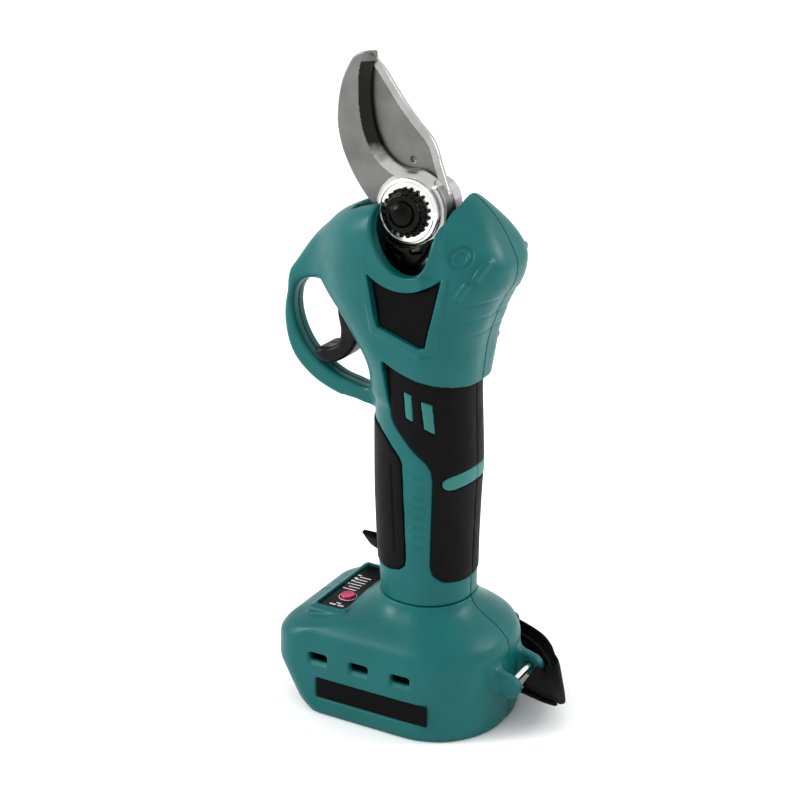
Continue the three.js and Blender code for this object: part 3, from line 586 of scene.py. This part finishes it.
def body_shell(side):
    """side -1 is the left shell, with the window; 1 is the right shell."""
    b = Block((-75, 48), (-28.5, 1.0), (55, 241))
    whole, handle = body_field(b)
    whole = body_details(b, whole)
    window = xz(b, outline_field, WINDOW)
    if side < 0:
        whole = carve(whole, np.maximum(window, b.y + 3), 1.6)
        whole = carve(whole, box_field(b, (-26, 16.2), (-18, 20), (212, 262)), 0.9)
    else:
        whole = carve(whole, box_field(b, (-26, 16.2), (-17, 20), (212, 262)), 0.9)
        far_top = np.interp(b.x, (-26, 12, 17, 19), (226, 226, 228.5, 245))
        whole = smax(whole, b.z - far_top, 1.5)
    whole = carve(whole, box_field(b, (-26, 18.8), (-10.6, 20), (221, 262)), 0.9)
    whole = carve(whole, box_field(b, (-26, 22.4), (-10.6, 20), (205, 223)), 0.6)
    shield = xz(b, outline_field, SHIELD)
    whole = carve(whole, np.maximum(shield, b.y + HEAD_HALF - 1.3), 0.6)
    for grip in (FRONT_GRIP, REAR_GRIP):
        region = xz(b, outline_field, grip)
        whole = carve(whole, np.maximum(region - 0.15, -(handle + GRIP_DEPTH + 0.2)), 0.5)
    inner = np.maximum(plan_field(b, HEAD, HEAD_SOFT, grow=-WALL), np.maximum(164 - b.z, b.z - 229))
    inner = np.maximum(inner, roof_field(b) + 4)
    bore = np.maximum(np.hypot(b.x - DRIVE_X, b.y) - MOTOR_ROOM_R, b.z - 172)
    hollow = np.minimum(inner, bore)
    whole = np.maximum(whole, -hollow)
    slot = box_field(b, (-52, -24.6), (-TRIGGER_HALF - 0.8, 30), (158, 203))
    keep = xz(b, outline_field, [(-80, 190), (-46, 190), (-41, 203), (-41, 240), (-80, 240)])
    whole = carve(whole, np.maximum(slot, -keep), 0.8)
    whole = smax(whole, b.y + SEAM, 0.5)
    name = "body_left" if side < 0 else "body_right"
    piece = moulded(name, b, whole, TEAL)
    if side > 0:
        mirror(piece)
    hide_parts("body_left_shell" if side < 0 else "body_right_shell")
    return piece


def mirror(piece):
    piece.data.transform(Matrix.Scale(-1, 4, (0, 1, 0)))
    piece.data.flip_normals()


def capsule(start, end, half):
    """An outline with round ends about a line."""
    angle = math.atan2(end[1] - start[1], end[0] - start[0])
    out = []
    for centre, turn in ((end, angle - math.pi / 2), (start, angle + math.pi / 2)):
        for i in range(ARC_STEPS + 1):
            a = turn + math.pi * i / ARC_STEPS
            out.append((centre[0] + half * math.cos(a), centre[1] + half * math.sin(a)))
    return out


INSERTS = {
    "bar_1": [(0.5, 156.0), (4.2, 154.9), (5.1, 142.7), (1.4, 144.7)],
    "bar_2": [(7.9, 152.8), (12.5, 151.0), (13.7, 138), (9.4, 140.4)],
    "stripe": capsule((19.4, 115.2), (44, 122.8), 3.2),
}


def inlay(name, outline):
    """A teal piece let into the rear grip, and its twin on the other side."""
    b = Block((-2, 27), (-25, 1.0), (108, 159))
    handle = plan_field(b, HANDLE, 2)
    band = np.maximum(handle - GRIP_PROUD - 0.12, -(handle + 1.2))
    field = smax(band, xz(b, outline_field, outline), 0.7)
    field = np.maximum(field, b.y + 0.02)
    for side, suffix in ((-1, "left"), (1, "right")):
        piece = moulded(f"grip_{name}_{suffix}", b, field, TEAL_DARK)
        if side > 0:
            mirror(piece)


def grip(outline, grooves, name, node, inserts=()):
    b = Block((-26, 27), (-25, 1.0), (63, 172))
    handle = plan_field(b, HANDLE, 2)
    skin = np.maximum(handle - GRIP_PROUD, -(handle + GRIP_DEPTH))
    field = smax(skin, xz(b, outline_field, outline) + 0.1, 0.9)
    for points, width, depth in grooves:
        field = field + depth * ridge(xz(b, line_field, points), width, 0.4)
    for insert in inserts:
        field = carve(field, xz(b, outline_field, insert) - 0.12, 0.4)
    field = smax(field, b.y + SEAM, 0.4)
    for side, suffix in ((-1, "left"), (1, "right")):
        piece = moulded(f"{name}_{suffix}", b, field, RUBBER)
        if side > 0:
            mirror(piece)
        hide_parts(f"{node}_{suffix}")


for side in (-1, 1):
    body_shell(side)
grip(FRONT_GRIP, [([(-5.4, 122), (-3.8, 82)], 0.5, 0.7)], "front_grip", "grip_front")
grip(REAR_GRIP, [([(-2.8, 162.6), (-2.2, 147)], 0.15, 0.4), ([(15, 149.5), (40, 151.5)], 0.1, 0.4)],
     "rear_grip", "grip_rear", inserts=INSERTS.values())
for name, outline in INSERTS.items():
    inlay(name, outline)


# ---------- the side plates in the head's recesses ----------
def side_plates():
    b = Block((-16, 22), (-26.6, -23.4), (174, 210), 0.4)
    outline = xz(b, outline_field, SHIELD) + 0.3
    field = smax(outline, np.abs(b.y + 25.05) - 0.75, 0.9)
    for side, suffix in ((-1, "left"), (1, "right")):
        piece = moulded(f"shield_{suffix}", b, field, GLOSS_BLACK)
        if side > 0:
            mirror(piece)
        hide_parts(f"side_plate_{suffix}")


side_plates()

# ---------- the foot ----------
FOOT = [
    (0, -46, 40, 36.5, 12, 33), (5, -50, 41.5, 38, 12, 34), (23, -60, 41.5, 38, 13, 34),
    (36.5, -60, 41.5, 38, 14, 34), (41.5, -56.5, 39.8, 36, 16, 32), (45, -45, 36.2, 32, 20, 29),
    (48.2, -30, 31, 27.6, 24, 25), (51, -26, 26.8, 24.6, 23, 23), (54, -22.5, 23.6, 22.4, 21.5, 21.5),
    (57.3, -20, 22, 21.5, 20, 20),
]
FOOT_SOFT = 1.3  # mm along Z that the foot's sections are smoothed over
PANEL_X = (-43.5, -29.5)
PANEL_HALF = 23.0
BUTTON_X, BUTTON_Y = -35.2, -10.0
SLOTS_X = (-34.8, -14.0, 6.8)
LABEL_X, LABEL_Z = (-36.0, 20.0), (9.0, 18.8)
EAR_X, EAR_Z = 47.0, 24.5


def foot_field(b):
    whole = plan_field(b, FOOT, FOOT_SOFT)
    whole = smax(whole, b.z - 57.0, 0.6)
    bezel = box_field(b, (-47.4, -25.0), (-26.9, 26.9), (36, 47.2), 2.6)
    rim = box_field(b, (-45.0, -27.5), (-24.5, 24.5), (38, 48.0), 0.8)
    whole = smin(smin(whole, bezel, 1.2), rim, 0.5)
    ear = xz(b, line_field, [(35, EAR_Z + 2.4), (41, EAR_Z + 1.4), (EAR_X + 0.4, EAR_Z - 0.4)]) - 5.2
    ear = smax(ear, np.abs(np.abs(b.y) - 11.4) - 2.3, 1.6)
    return smin(whole, ear, 3.2)


def foot_shell(side):
    b = Block((-62, 53.5), (-40, 1.0), (-1, 60))
    whole = foot_field(b)
    whole = smax(whole, 0.02 - b.z, 1.2)
    pocket = box_field(b, (PANEL_X[0] - 0.3, PANEL_X[1] + 0.3), (-PANEL_HALF - 0.3, PANEL_HALF + 0.3),
                       (44.7, 60), 1.6)
    whole = carve(whole, pocket, 0.5)
    for x in SLOTS_X:
        slot = box_field(b, (x - 4.5, x + 4.5), (-60, -33), (26.8, 30.8), 1.5)
        sill = box_field(b, (x - 4.9, x + 4.9), (-60, -36.9), (25.2, 30.9), 1.3)
        whole = carve(carve(whole, slot, 0.5), sill, 1.0)
    label = box_field(b, (LABEL_X[0] - 0.3, LABEL_X[1] + 0.3), (-60, -36.75),
                      (LABEL_Z[0] - 0.3, LABEL_Z[1] + 0.3), 1.0)
    whole = carve(whole, label, 0.5)
    hollow = np.maximum(plan_field(b, FOOT, FOOT_SOFT, grow=-FOOT_WALL), np.maximum(21.5 - b.z, b.z - 43.5))
    neck = np.maximum(np.hypot(b.x - DRIVE_X, b.y) - MOTOR_ROOM_R, 40 - b.z)
    bay_mouth = box_field(b, (-80, 24), (-26, 26), (-5, 3.6))
    rail_room = box_field(b, (-80, 24), (-31, 31), (3.5, 12))
    terminal_room = box_field(b, (-7, 15), (-18.5, 18.5), (10, 24))
    bay = np.minimum(np.minimum(bay_mouth, rail_room), terminal_room)
    whole = carve(np.maximum(whole, -np.minimum(hollow, neck)), bay, 0.5)
    pin_hole = np.maximum(np.hypot(b.x - EAR_X, b.z - EAR_Z) - 1.95, np.abs(b.y) - 12.4)
    whole = carve(whole, pin_hole, 0.3)
    whole = carve(whole, np.hypot(b.x - BUTTON_X, b.y - (BUTTON_Y if side < 0 else -BUTTON_Y)) - 3.8, 0.3)
    whole = smax(whole, b.y + SEAM, 0.5)
    suffix = "left" if side < 0 else "right"
    piece = moulded(f"foot_{suffix}", b, whole, TEAL)
    if side > 0:
        mirror(piece)
    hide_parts(f"base_{suffix}_shell")


def labels():
    b = Block((-37, 21), (-38.2, -36), (8, 20), 0.4)
    field = box_field(b, LABEL_X, (-37.45, -36.6), LABEL_Z, 0.4)
    for side, suffix in ((-1, "left"), (1, "right")):
        piece = moulded(f"label_{suffix}", b, field, GLOSS_BLACK)
        if side > 0:
            mirror(piece)
        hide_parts(f"rating_plate_{suffix}")


def indicator():
    b = Block((-45, -28), (-24, 24), (44.3, 47.6), 0.4)
    field = box_field(b, PANEL_X, (-PANEL_HALF, PANEL_HALF), (45.1, 46.9), 0.5)
    corner = box_field(b, PANEL_X, (-PANEL_HALF, PANEL_HALF), (30, 60), 1.6)
    field = smax(field, corner, 0.3)
    field = carve(field, np.hypot(b.x - BUTTON_X, b.y - BUTTON_Y) - 3.75, 0.3)
    piece = moulded("indicator_face", b, field, GLOSS_BLACK)
    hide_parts("indicator_panel")
    # rows of x, y, half the size along y and half the size along x
    marks = [(-35.2 - 3.2 + 0.9 * (i % 2), -3.2 + 2.6 * i, 0.35, 3.4 - 0.5 * (i % 2)) for i in range(6)]
    marks += [(-41.4, 2.0 + 3.1 * i, 0.5, 0.9) for i in range(4)]
    marks += [(-33.5, -19.5, 0.5, 1.6), (-37.5, -19.5, 0.5, 1.6), (-35.5, -17.6, 0.4, 1.2)]
    shape = bmesh.new()
    for x, y, half_y, half_x in marks:
        made = bmesh.ops.create_cube(shape, size=1)["verts"]
        bmesh.ops.scale(shape, vec=(2 * half_x * MM, 2 * half_y * MM, 0.16 * MM), verts=made)
        bmesh.ops.translate(shape, vec=place(x, y, 46.93), verts=made)
    mesh = bpy.data.meshes.new("indicator_marks")
    shape.to_mesh(mesh)
    shape.free()
    marks_piece = link("indicator_marks", mesh, PALE, smooth=False)
    bevelled(marks_piece, 0.06, 1)
    ring = turned("button_ring", [(3.85, 0), (3.85, 0.25), (4.0, 0.34), (4.2, 0.25), (4.2, 0), (3.85, 0)],
                  place(BUTTON_X, BUTTON_Y, 46.8), (0, 0, 1), PALE)
    key = turned("button", [(0, -4.5), (3.3, -4.5), (3.3, 1.0), (3.0, 1.35), (1.5, 1.2), (0, 1.05)],
                 place(BUTTON_X, BUTTON_Y, 47.0), (0, 0, 1), RED, body="power_key")
    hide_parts("power_button")


for side in (-1, 1):
    foot_shell(side)
labels()
indicator()

# ---------- the blades ----------
HOOK_BACK = [
    (-11, 226), (-18.4, 231.4), (-26.3, 241), (-32.2, 252.2), (-34.7, 262), (-34.7, 269),
    (-33.7, 276.2), (-31.8, 282.5), (-29, 287.9), (-26.8, 290.9), (-23.6, 292.6), (-18.9, 293.2),
]
HOOK_BITE = [
    (-18.6, 290.4), (-20.2, 287.3), (-21, 283), (-21.2, 277.3), (-21, 271.9), (-19.8, 264.3),
    (-17.6, 258.3), (-14.7, 253.3), (-9.4, 249), (-4, 247.3), (3, 247.2), (8.6, 244.4),
]
CUTTER_SPINE = [
    (12.4, 239.8), (10.2, 246), (8.6, 250.5), (7.4, 254.5), (4.8, 259.5), (-1.3, 265.8), (-7, 272.3),
    (-11.9, 278.7), (-17.2, 286), (-21, 290.6),
]
CUTTER_EDGE = [(-25.5, 287.5), (-30, 278), (-31.5, 268), (-30, 256), (-24.5, 246.5), (-16.5, 238)]
HOLLOW_WIDTH, HOLLOW_DEPTH = 3.8, 4.0
CHAMFER_WIDTH, CHAMFER_DEPTH = 2.4, 1.6
BEVEL_WIDTH, BEVEL_DEPTH = 9.0, 3.2
OIL_HOLE_X, OIL_HOLE_Z, OIL_HOLE_R = -2.8, 250.6, 1.2
BLADE_VOXEL = 0.34


def about_pivot(radius, low, high, count):
    return [(DRIVE_X + radius * math.cos(math.radians(a)), PIVOT_Z + radius * math.sin(math.radians(a)))
            for a in (low + (high - low) * i / count for i in range(count + 1))]


def paint(piece, choices):
    """Gives the chosen faces of a piece other materials, the later ones over the earlier."""
    picked = np.zeros(len(piece.data.polygons), np.int32)
    for number, (chosen, material) in enumerate(choices, 1):
        piece.data.materials.append(material)
        picked[chosen] = number
    piece.data.polygons.foreach_set("material_index", picked)


def face_middles(piece):
    centres = np.empty(len(piece.data.polygons) * 3, np.float32)
    piece.data.polygons.foreach_get("center", centres)
    return centres.reshape(-1, 3) / MM - np.array([HANDLE_X, 0, 0])


def hook():
    b = Block((-42, 20), (-15.6, -8.2), (198, 295), BLADE_VOXEL)
    bite = smooth_curve(HOOK_BITE, 60)
    outline = [*smooth_curve(HOOK_BACK, 50), *bite, *about_pivot(16.8, 46, -48, 16)]
    outline += [(11.8, 200), (-14.2, 200)]
    plan = xz(b, outline_field, outline)
    from_bite = xz(b, line_field, bite)
    hollow = HOLLOW_DEPTH * np.clip(1 - from_bite / HOLLOW_WIDTH, 0, 1) ** 1.5
    front = HOOK_FRONT_Y + hollow
    field = smax(smax(plan, front - b.y, 0.5), b.y - HOOK_BACK_Y, 0.4)
    from_pivot = np.hypot(b.x - DRIVE_X, b.z - PIVOT_Z)
    field = np.maximum(field, PIVOT_HOLE_R - from_pivot)
    piece = moulded("hook_blade", b, field, BLADE)
    x, y, z = face_middles(piece).T
    # the hollow-ground faces take the steel with the painted highlight
    hollow_ground = (line_field(x, z, bite) < HOLLOW_WIDTH - 0.1) & (y < -9.3) & (z < 289)
    polished = (np.hypot(x - DRIVE_X, z - PIVOT_Z) < 15.6) | (z < 212)
    paint(piece, ((hollow_ground, BLADE_HOLLOW_PAINTED_HIGHLIGHT), (polished, BLADE_EDGE)))
    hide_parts("fixed_blade")


def cutter():
    b = Block((-36, 24), (-9.2, -2.4), (205, 290), BLADE_VOXEL)
    spine = smooth_curve(CUTTER_SPINE, 50)
    edge = smooth_curve(CUTTER_EDGE, 40)
    outline = [*about_pivot(23, -105, -31, 14), *about_pivot(16.4, -24, 30, 10), *spine, *edge,
               *about_pivot(15.5, 160, 238, 14)]
    plan = xz(b, outline_field, outline)
    from_spine = xz(b, line_field, spine)
    from_edge = xz(b, line_field, edge)
    front = CUTTER_FRONT_Y + CHAMFER_DEPTH * np.clip(1 - from_spine / CHAMFER_WIDTH, 0, 1)
    back = CUTTER_BACK_Y - BEVEL_DEPTH * np.clip(1 - from_edge / BEVEL_WIDTH, 0, 1)
    field = smax(smax(plan, front - b.y, 0.25), b.y - back, 0.3)
    from_pivot = np.hypot(b.x - DRIVE_X, b.z - PIVOT_Z)
    angle = np.degrees(np.arctan2(b.z - PIVOT_Z, b.x - DRIVE_X))
    pitch = 360 / SECTOR_TEETH
    inside_sector = (angle > -90 - 2 * pitch) & (angle < -90 + 7 * pitch)
    phase = np.abs((angle + 90) / pitch - 0.5 - np.round((angle + 90) / pitch - 0.5)) * pitch
    face = np.maximum(17.4 - from_pivot, from_pivot - 22.6)
    tooth = np.maximum(np.radians(phase - 1.35) * from_pivot, face)
    tooth = np.maximum(np.where(inside_sector, tooth, 5), np.maximum(b.y + 3.05, -8.0 - b.y))
    field = np.minimum(field, tooth)
    field = np.maximum(field, PIVOT_HOLE_R - from_pivot)
    oil_hole = np.hypot(b.x - OIL_HOLE_X, b.z - OIL_HOLE_Z) - OIL_HOLE_R
    field = carve(field, np.maximum(oil_hole, b.y + 7.6), 0.3)
    piece = moulded("cutter_blade", b, field, BLADE, "cutter")
    x, _, z = face_middles(piece).T
    chamfer = (line_field(x, z, spine) < CHAMFER_WIDTH - 0.1) & (z > 236)
    paint(piece, ((chamfer, BLADE_EDGE),))
    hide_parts("moving_blade")


hook()
cutter()


# ---------- what holds the blades ----------
NUT_TEETH = 20


def pivot_pieces():
    centre = place(DRIVE_X, 0, PIVOT_Z)
    forward = (0, -1, 0)
    ring = turned("pivot_washer", [
        (4.3, 14.7), (13.3, 14.7), (13.8, 15.1), (13.8, 16.4), (13.3, 16.85), (12.5, 16.95), (12.2, 16.7),
        (11.9, 16.95), (4.3, 17.0), (4.3, 14.7)], centre, forward, BRIGHT, sides=96)
    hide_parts("pivot_ring")

    b = Block((-13, 11), (-25.2, -16.8), (218.5, 243), 0.22)
    radius = np.hypot(b.x - DRIVE_X, b.z - PIVOT_Z)
    angle = np.arctan2(b.z - PIVOT_Z, b.x - DRIVE_X)
    teeth = np.abs(((angle / (2 * math.pi) * NUT_TEETH) % 1) - 0.5) * 2
    rim = 10.2 - 1.5 * np.clip((teeth - 0.42) * 5, 0, 1)
    flange = smax(radius - rim, np.abs(b.y + 18.3) - 1.0, 0.35)
    hub = smax(radius - 8.0, np.abs(b.y + 19.2) - 2.1, 0.9)
    nut = smin(flange, hub, 0.7)
    nut = np.maximum(nut, 4.25 - radius)
    piece = moulded("lock_nut_toothed", b, nut, BLACK_STEEL)
    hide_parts("lock_nut")
    bolt = turned("pivot_bolt_domed", [
        (0, -16.2), (7.1, -16.2), (7.5, -15.8), (7.5, -12.4), (4.0, -12.4), (4.0, 21.4), (5.4, 21.4),
        (5.4, 22.2), (4.9, 23.0), (3.6, 23.9), (2.0, 24.35), (0, 24.4)], centre, forward, BLACK_STEEL)
    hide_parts("pivot_bolt")


def bracket():
    """The plate that keys the nut, with its screw and two pressed ridges."""
    b = Block((-13, 12), (-20.5, -14), (203, 224), 0.25)
    outline = [(-10.8, 219), (-10.7, 213), (-9.8, 209.2), (-7.6, 206.7), (-3.6, 206.0), (0.4, 207.2),
               (4.4, 210.2), (8.2, 214.6), (10.2, 219), (5, 223), (-5, 223)]
    plan = xz(b, outline_field, outline)
    nut = np.hypot(b.x - DRIVE_X, b.z - PIVOT_Z)
    field = smax(plan, np.abs(b.y + 16.6) - 1.9, 0.9)
    ridges = np.minimum(xz(b, line_field, [(-6, 216.4), (-2.6, 214.8)]),
                        xz(b, line_field, [(2.4, 215.2), (6, 216)]))
    field = field - 0.9 * ridge(ridges, 0.7, 0.9)
    field = smax(field, 14.3 - nut, 0.5)
    piece = moulded("lock_bracket", b, field, BLACK_STEEL)
    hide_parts("lock_plate")


SOCKET_DEPTH = 1.2


def socket_screw(name, node, centre, outward, radius, height, material):
    """A cap with a rounded edge and a round recess for the key; heights run outward from centre."""
    r = radius
    head = turned(name, [
        (0, height - SOCKET_DEPTH), (0.48 * r, height - SOCKET_DEPTH), (0.5 * r, height - 0.15),
        (0.56 * r, height), (0.84 * r, height), (0.95 * r, height - 0.12 * r), (r, height - 0.32 * r),
        (r, 0), (0, 0)], centre, outward, material, sides=48)
    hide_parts(node)


pivot_pieces()
bracket()
socket_screw("bracket_screw", "lock_screw", place(-4.6, -18.6, 211), (0, -1, 0), 3.0, 2.2,
             BLACK_STEEL)
for number, (x, z) in enumerate(((-9.4, 203.6), (7.0, 203.6)), 1):
    socket_screw(f"hook_screw_{number}", f"blade_screw_{number}", place(x, -14.7, z), (0, -1, 0), 3.9, 2.2,
                 BRIGHT)
for number, (x, y, z) in enumerate(((30, 20.9, 198), (21.5, 18.9, 174), (-27, 22, 212)), 1):
    socket_screw(f"shell_screw_{number}", f"body_screw_{number}", place(x, y - 2.0, z), (0, 1, 0), 3.2, 2.0,
                 BLACK_STEEL)
for number, (x, y, z) in enumerate(((32, 24.4, 38), (-49, 36.4, 32)), 1):
    socket_screw(f"foot_screw_{number}", f"base_screw_{number}", place(x, y - 2.0, z), (0, 1, 0), 3.2, 2.0,
                 BLACK_STEEL)


# ---------- the trigger ----------
TRIGGER = [
    (-36, 200.5), (-39.5, 196), (-41, 188), (-41.6, 180), (-40.2, 172), (-41, 166.6), (-44.5, 164),
    (-49.5, 163.4), (-52.4, 161.2), (-51, 158.2), (-46, 156.6), (-40.5, 158), (-35.4, 162.2), (-32, 168.4),
    (-30.8, 176), (-29, 186), (-28.4, 200.5),
]


def trigger():
    b = Block((-54, -27), (-10, 10), (155, 202), 0.4)
    plan = xz(b, outline_field, smooth_curve(TRIGGER, 90, closed=True))
    half = 6.6 + 2.2 * np.clip((-36 - b.x) / 12, 0, 1) * np.clip((172 - b.z) / 8, 0, 1)
    radius = 2.4
    q1, q2 = plan + radius, np.abs(b.y) - half + radius
    field = np.minimum(np.maximum(q1, q2), 0) + np.hypot(np.maximum(q1, 0), np.maximum(q2, 0)) - radius
    rib = ridge(np.abs(b.y), 0.5, 1.0) * ridge(xz(b, line_field, smooth_curve(TRIGGER[1:9], 40)), 1.5, 1.5)
    field = field + 0.5 * rib
    field = np.maximum(field, 2.0 - np.hypot(b.x + 33, b.z - 195))
    piece = moulded("trigger_lever_grip", b, field, BLACK, "trigger_lever")
    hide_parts("trigger")


trigger()

# ---------- the wrist strap ----------
STRAP_WIDTH = 17.0
STRAP_THICK = 1.6
# rows of x, y, z, the way across it, and how far outside it the returning strand lies
STRAP_OUT = [
    (50.6, 0, 21.4, 0, 1, 0, 3.6), (54.8, 0.4, 20.4, 0, 1, 0, 3.6),
    (57.6, 2.4, 19.2, -0.15, 1, 0.12, 3.6), (58.6, 8, 17.8, -0.35, 0.7, 0.55, 3.6),
    (56.2, 14.8, 16.6, -0.35, 0.3, 0.85, 3.7), (51.2, 22, 15.4, -0.25, 0, 1, 4),
    (45, 29.8, 14.2, -0.15, -0.1, 1, 5), (36.2, 37, 13.4, -0.1, -0.1, 1, 6.4),
    (24.8, 41.6, 13.8, 0, -0.1, 1, 7.2), (13, 42.4, 16.8, -0.1, -0.1, 1, 7.2),
    (1, 42.8, 21.6, -0.25, -0.12, 1, 7.2), (-10, 42.8, 27.2, -0.3, -0.2, 1, 7.2),
    (-20, 42.6, 33.8, -0.3, -0.35, 1, 7), (-29, 41.2, 40.6, -0.2, -0.5, 1, 6),
    (-40.6, 38.8, 48.8, 0.1, -0.75, 0.9, 4.4),
]
STRAP_FOLD = (-53, 38.6, 53, 0.15, -0.85, 0.85)


def webbing():
    """Woven nylon: u runs across the strap and v along it, both in millimetres."""
    material, tree, shader = new_material("webbing")
    where = tree.nodes.new("ShaderNodeUVMap")
    split = tree.nodes.new("ShaderNodeSeparateXYZ")
    tree.links.new(where.outputs["UV"], split.inputs["Vector"])

    def wave(source, period):
        scaled = tree.nodes.new("ShaderNodeMath")
        scaled.operation = "MULTIPLY"
        scaled.inputs[1].default_value = 2 * math.pi / period
        tree.links.new(source, scaled.inputs[0])
        sine = tree.nodes.new("ShaderNodeMath")
        sine.operation = "SINE"
        tree.links.new(scaled.outputs[0], sine.inputs[0])
        return sine.outputs[0]

    mixed = tree.nodes.new("ShaderNodeMath")
    mixed.operation = "MULTIPLY"
    tree.links.new(wave(split.outputs["X"], 2.1), mixed.inputs[0])
    tree.links.new(wave(split.outputs["Y"], 1.6), mixed.inputs[1])
    height = spread(tree, mixed.outputs[0], 0, 1, -1, 1)
    # painted shade: the dips of the weave are coloured darker than its crests
    tree.links.new(colour_between(tree, height, (0.0015, 0.0015, 0.0018), (0.0055, 0.0055, 0.006), 0.2, 0.9),
                   shader.inputs["Base Color"])
    shader.inputs["Roughness"].default_value = 0.75
    shader.inputs["Specular IOR Level"].default_value = 0.12
    bump(tree, shader, height, 0.25)
    return material


def ribbon_frames(rows):
    """Centres, the way across and the way the face looks, at each row of a flat band."""
    middle_line = rows[:, :3]
    along = np.gradient(middle_line, axis=0)
    along /= np.linalg.norm(along, axis=1, keepdims=True)
    across = rows[:, 3:6]
    across = across - along * (across * along).sum(1, keepdims=True)
    across /= np.linalg.norm(across, axis=1, keepdims=True)
    return middle_line, across, np.cross(along, across)


def ribbon(name, rows, width, thick, material):
    """A flat band along rows of (x, y, z, and the way across it)."""
    rows = np.array(rows, float)
    length = np.linalg.norm(np.diff(rows[:, :3], axis=0), axis=1).sum()
    middle_line, across, up = ribbon_frames(np.array(smooth_curve(rows, int(length / RIBBON_STEP))))
    section = []
    for i in range(RIBBON_ACROSS + 1):
        u = -1 + 2 * i / RIBBON_ACROSS
        section.append((u * width / 2, thick / 2 * (1 - 0.35 * abs(u) ** 6)))
    section += [(u, -v) for u, v in reversed(section)]
    travelled = np.concatenate([[0], np.linalg.norm(np.diff(middle_line, axis=0), axis=1).cumsum()])
    vertices, coordinates = [], []
    for p, a, n, run in zip(middle_line, across, up, travelled):
        for u, v in section:
            vertices.append(place(*(p + a * u + n * v)))
            coordinates.append((u, run))
    count, rings = len(section), len(middle_line)
    faces = []
    for low in range(0, (rings - 1) * count, count):
        high = low + count
        for j in range(count):
            k = (j + 1) % count
            faces.append((low + j, high + j, high + k, low + k))
    faces += [tuple(range(count)), tuple(range(count * (rings - 1), count * rings))]
    mesh = mesh_from(name, vertices, faces)
    layer = mesh.uv_layers.new(name="weave")
    for loop in mesh.loops:
        layer.data[loop.index].uv = coordinates[loop.vertex_index]
    piece = link(name, mesh, material)
    return piece, middle_line


def strap():
    out = np.array(STRAP_OUT, float)
    centres, across, face = ribbon_frames(out)
    back = np.hstack([centres + face * out[:, 6:], across])[::-1]
    rows = np.vstack([out[:, :6], [STRAP_FOLD], back])
    piece, line = ribbon("wrist_strap", rows, STRAP_WIDTH, STRAP_THICK, webbing())
    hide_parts("strap")


strap()

pin = turned("strap_bar", [(0, -12.3), (1.5, -12.3), (1.8, -12), (1.8, 12), (1.5, 12.3), (0, 12.3)],
             place(EAR_X, 0, EAR_Z), (0, 1, 0), BRIGHT, sides=32)
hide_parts("strap_pin")

# ---------- the CAD pieces that stay in view ----------
FINISH = {
    "circuit_board": BOARD, "copper": COPPER, "cast_alloy": ALLOY, "gear_steel": GEAR, "bright_steel": BRIGHT,
    "black_plastic": BLACK, "black_steel": BLACK_STEEL,
}
for part in frame["record"]["subparts"]:
    node = frame["nodes"][part["node"]]
    if part["material_slot"] in FINISH and not node.hide_render:
        node.data.materials.clear()
        node.data.materials.append(FINISH[part["material_slot"]])


# ---------- floor and light, in metres ----------
FLOOR_REACH = 9
SKY_STRENGTH = 0.95


def area_light(name, position, target, size, power):
    data = bpy.data.lights.new(name, "AREA")
    data.shape = "RECTANGLE"
    data.size, data.size_y = size
    data.energy = power
    lamp = bpy.data.objects.new(name, data)
    lamp.location = position
    lamp.rotation_euler = (Vector(target) - Vector(position)).to_track_quat("-Z", "Y").to_euler()
    bpy.context.scene.collection.objects.link(lamp)


def make_studio():
    r = FLOOR_REACH
    mesh = mesh_from("floor", [(-r, -r, 0), (r, -r, 0), (r, r, 0), (-r, r, 0)], [(0, 1, 2, 3)])
    floor = bpy.data.objects.new("floor", mesh)
    bpy.context.scene.collection.objects.link(floor)
    material, tree, shader = new_material("floor")
    cloud = grain(tree, 4, 2)
    tree.links.new(colour_between(tree, cloud.outputs["Fac"], (0.93, 0.93, 0.93), (0.95, 0.95, 0.95)),
                   shader.inputs["Base Color"])
    shader.inputs["Roughness"].default_value = 0.9
    shader.inputs["Specular IOR Level"].default_value = 0.1
    mesh.materials.append(material)
    world = bpy.data.worlds.new("studio")
    world.use_nodes = True
    world.node_tree.nodes["Background"].inputs["Color"].default_value = (1, 1, 1, 1)
    world.node_tree.nodes["Background"].inputs["Strength"].default_value = SKY_STRENGTH
    bpy.context.scene.world = world
    bpy.context.scene.view_settings.view_transform = "Standard"
    bpy.context.scene.view_settings.look = "Medium High Contrast"
    area_light("key", (-0.95, -0.75, 0.8), (0, 0, 0.17), (0.4, 0.6), 9)
    area_light("rear", (0.8, 0.45, 0.7), (0, 0, 0.2), (0.3, 0.6), 4)


make_studio()
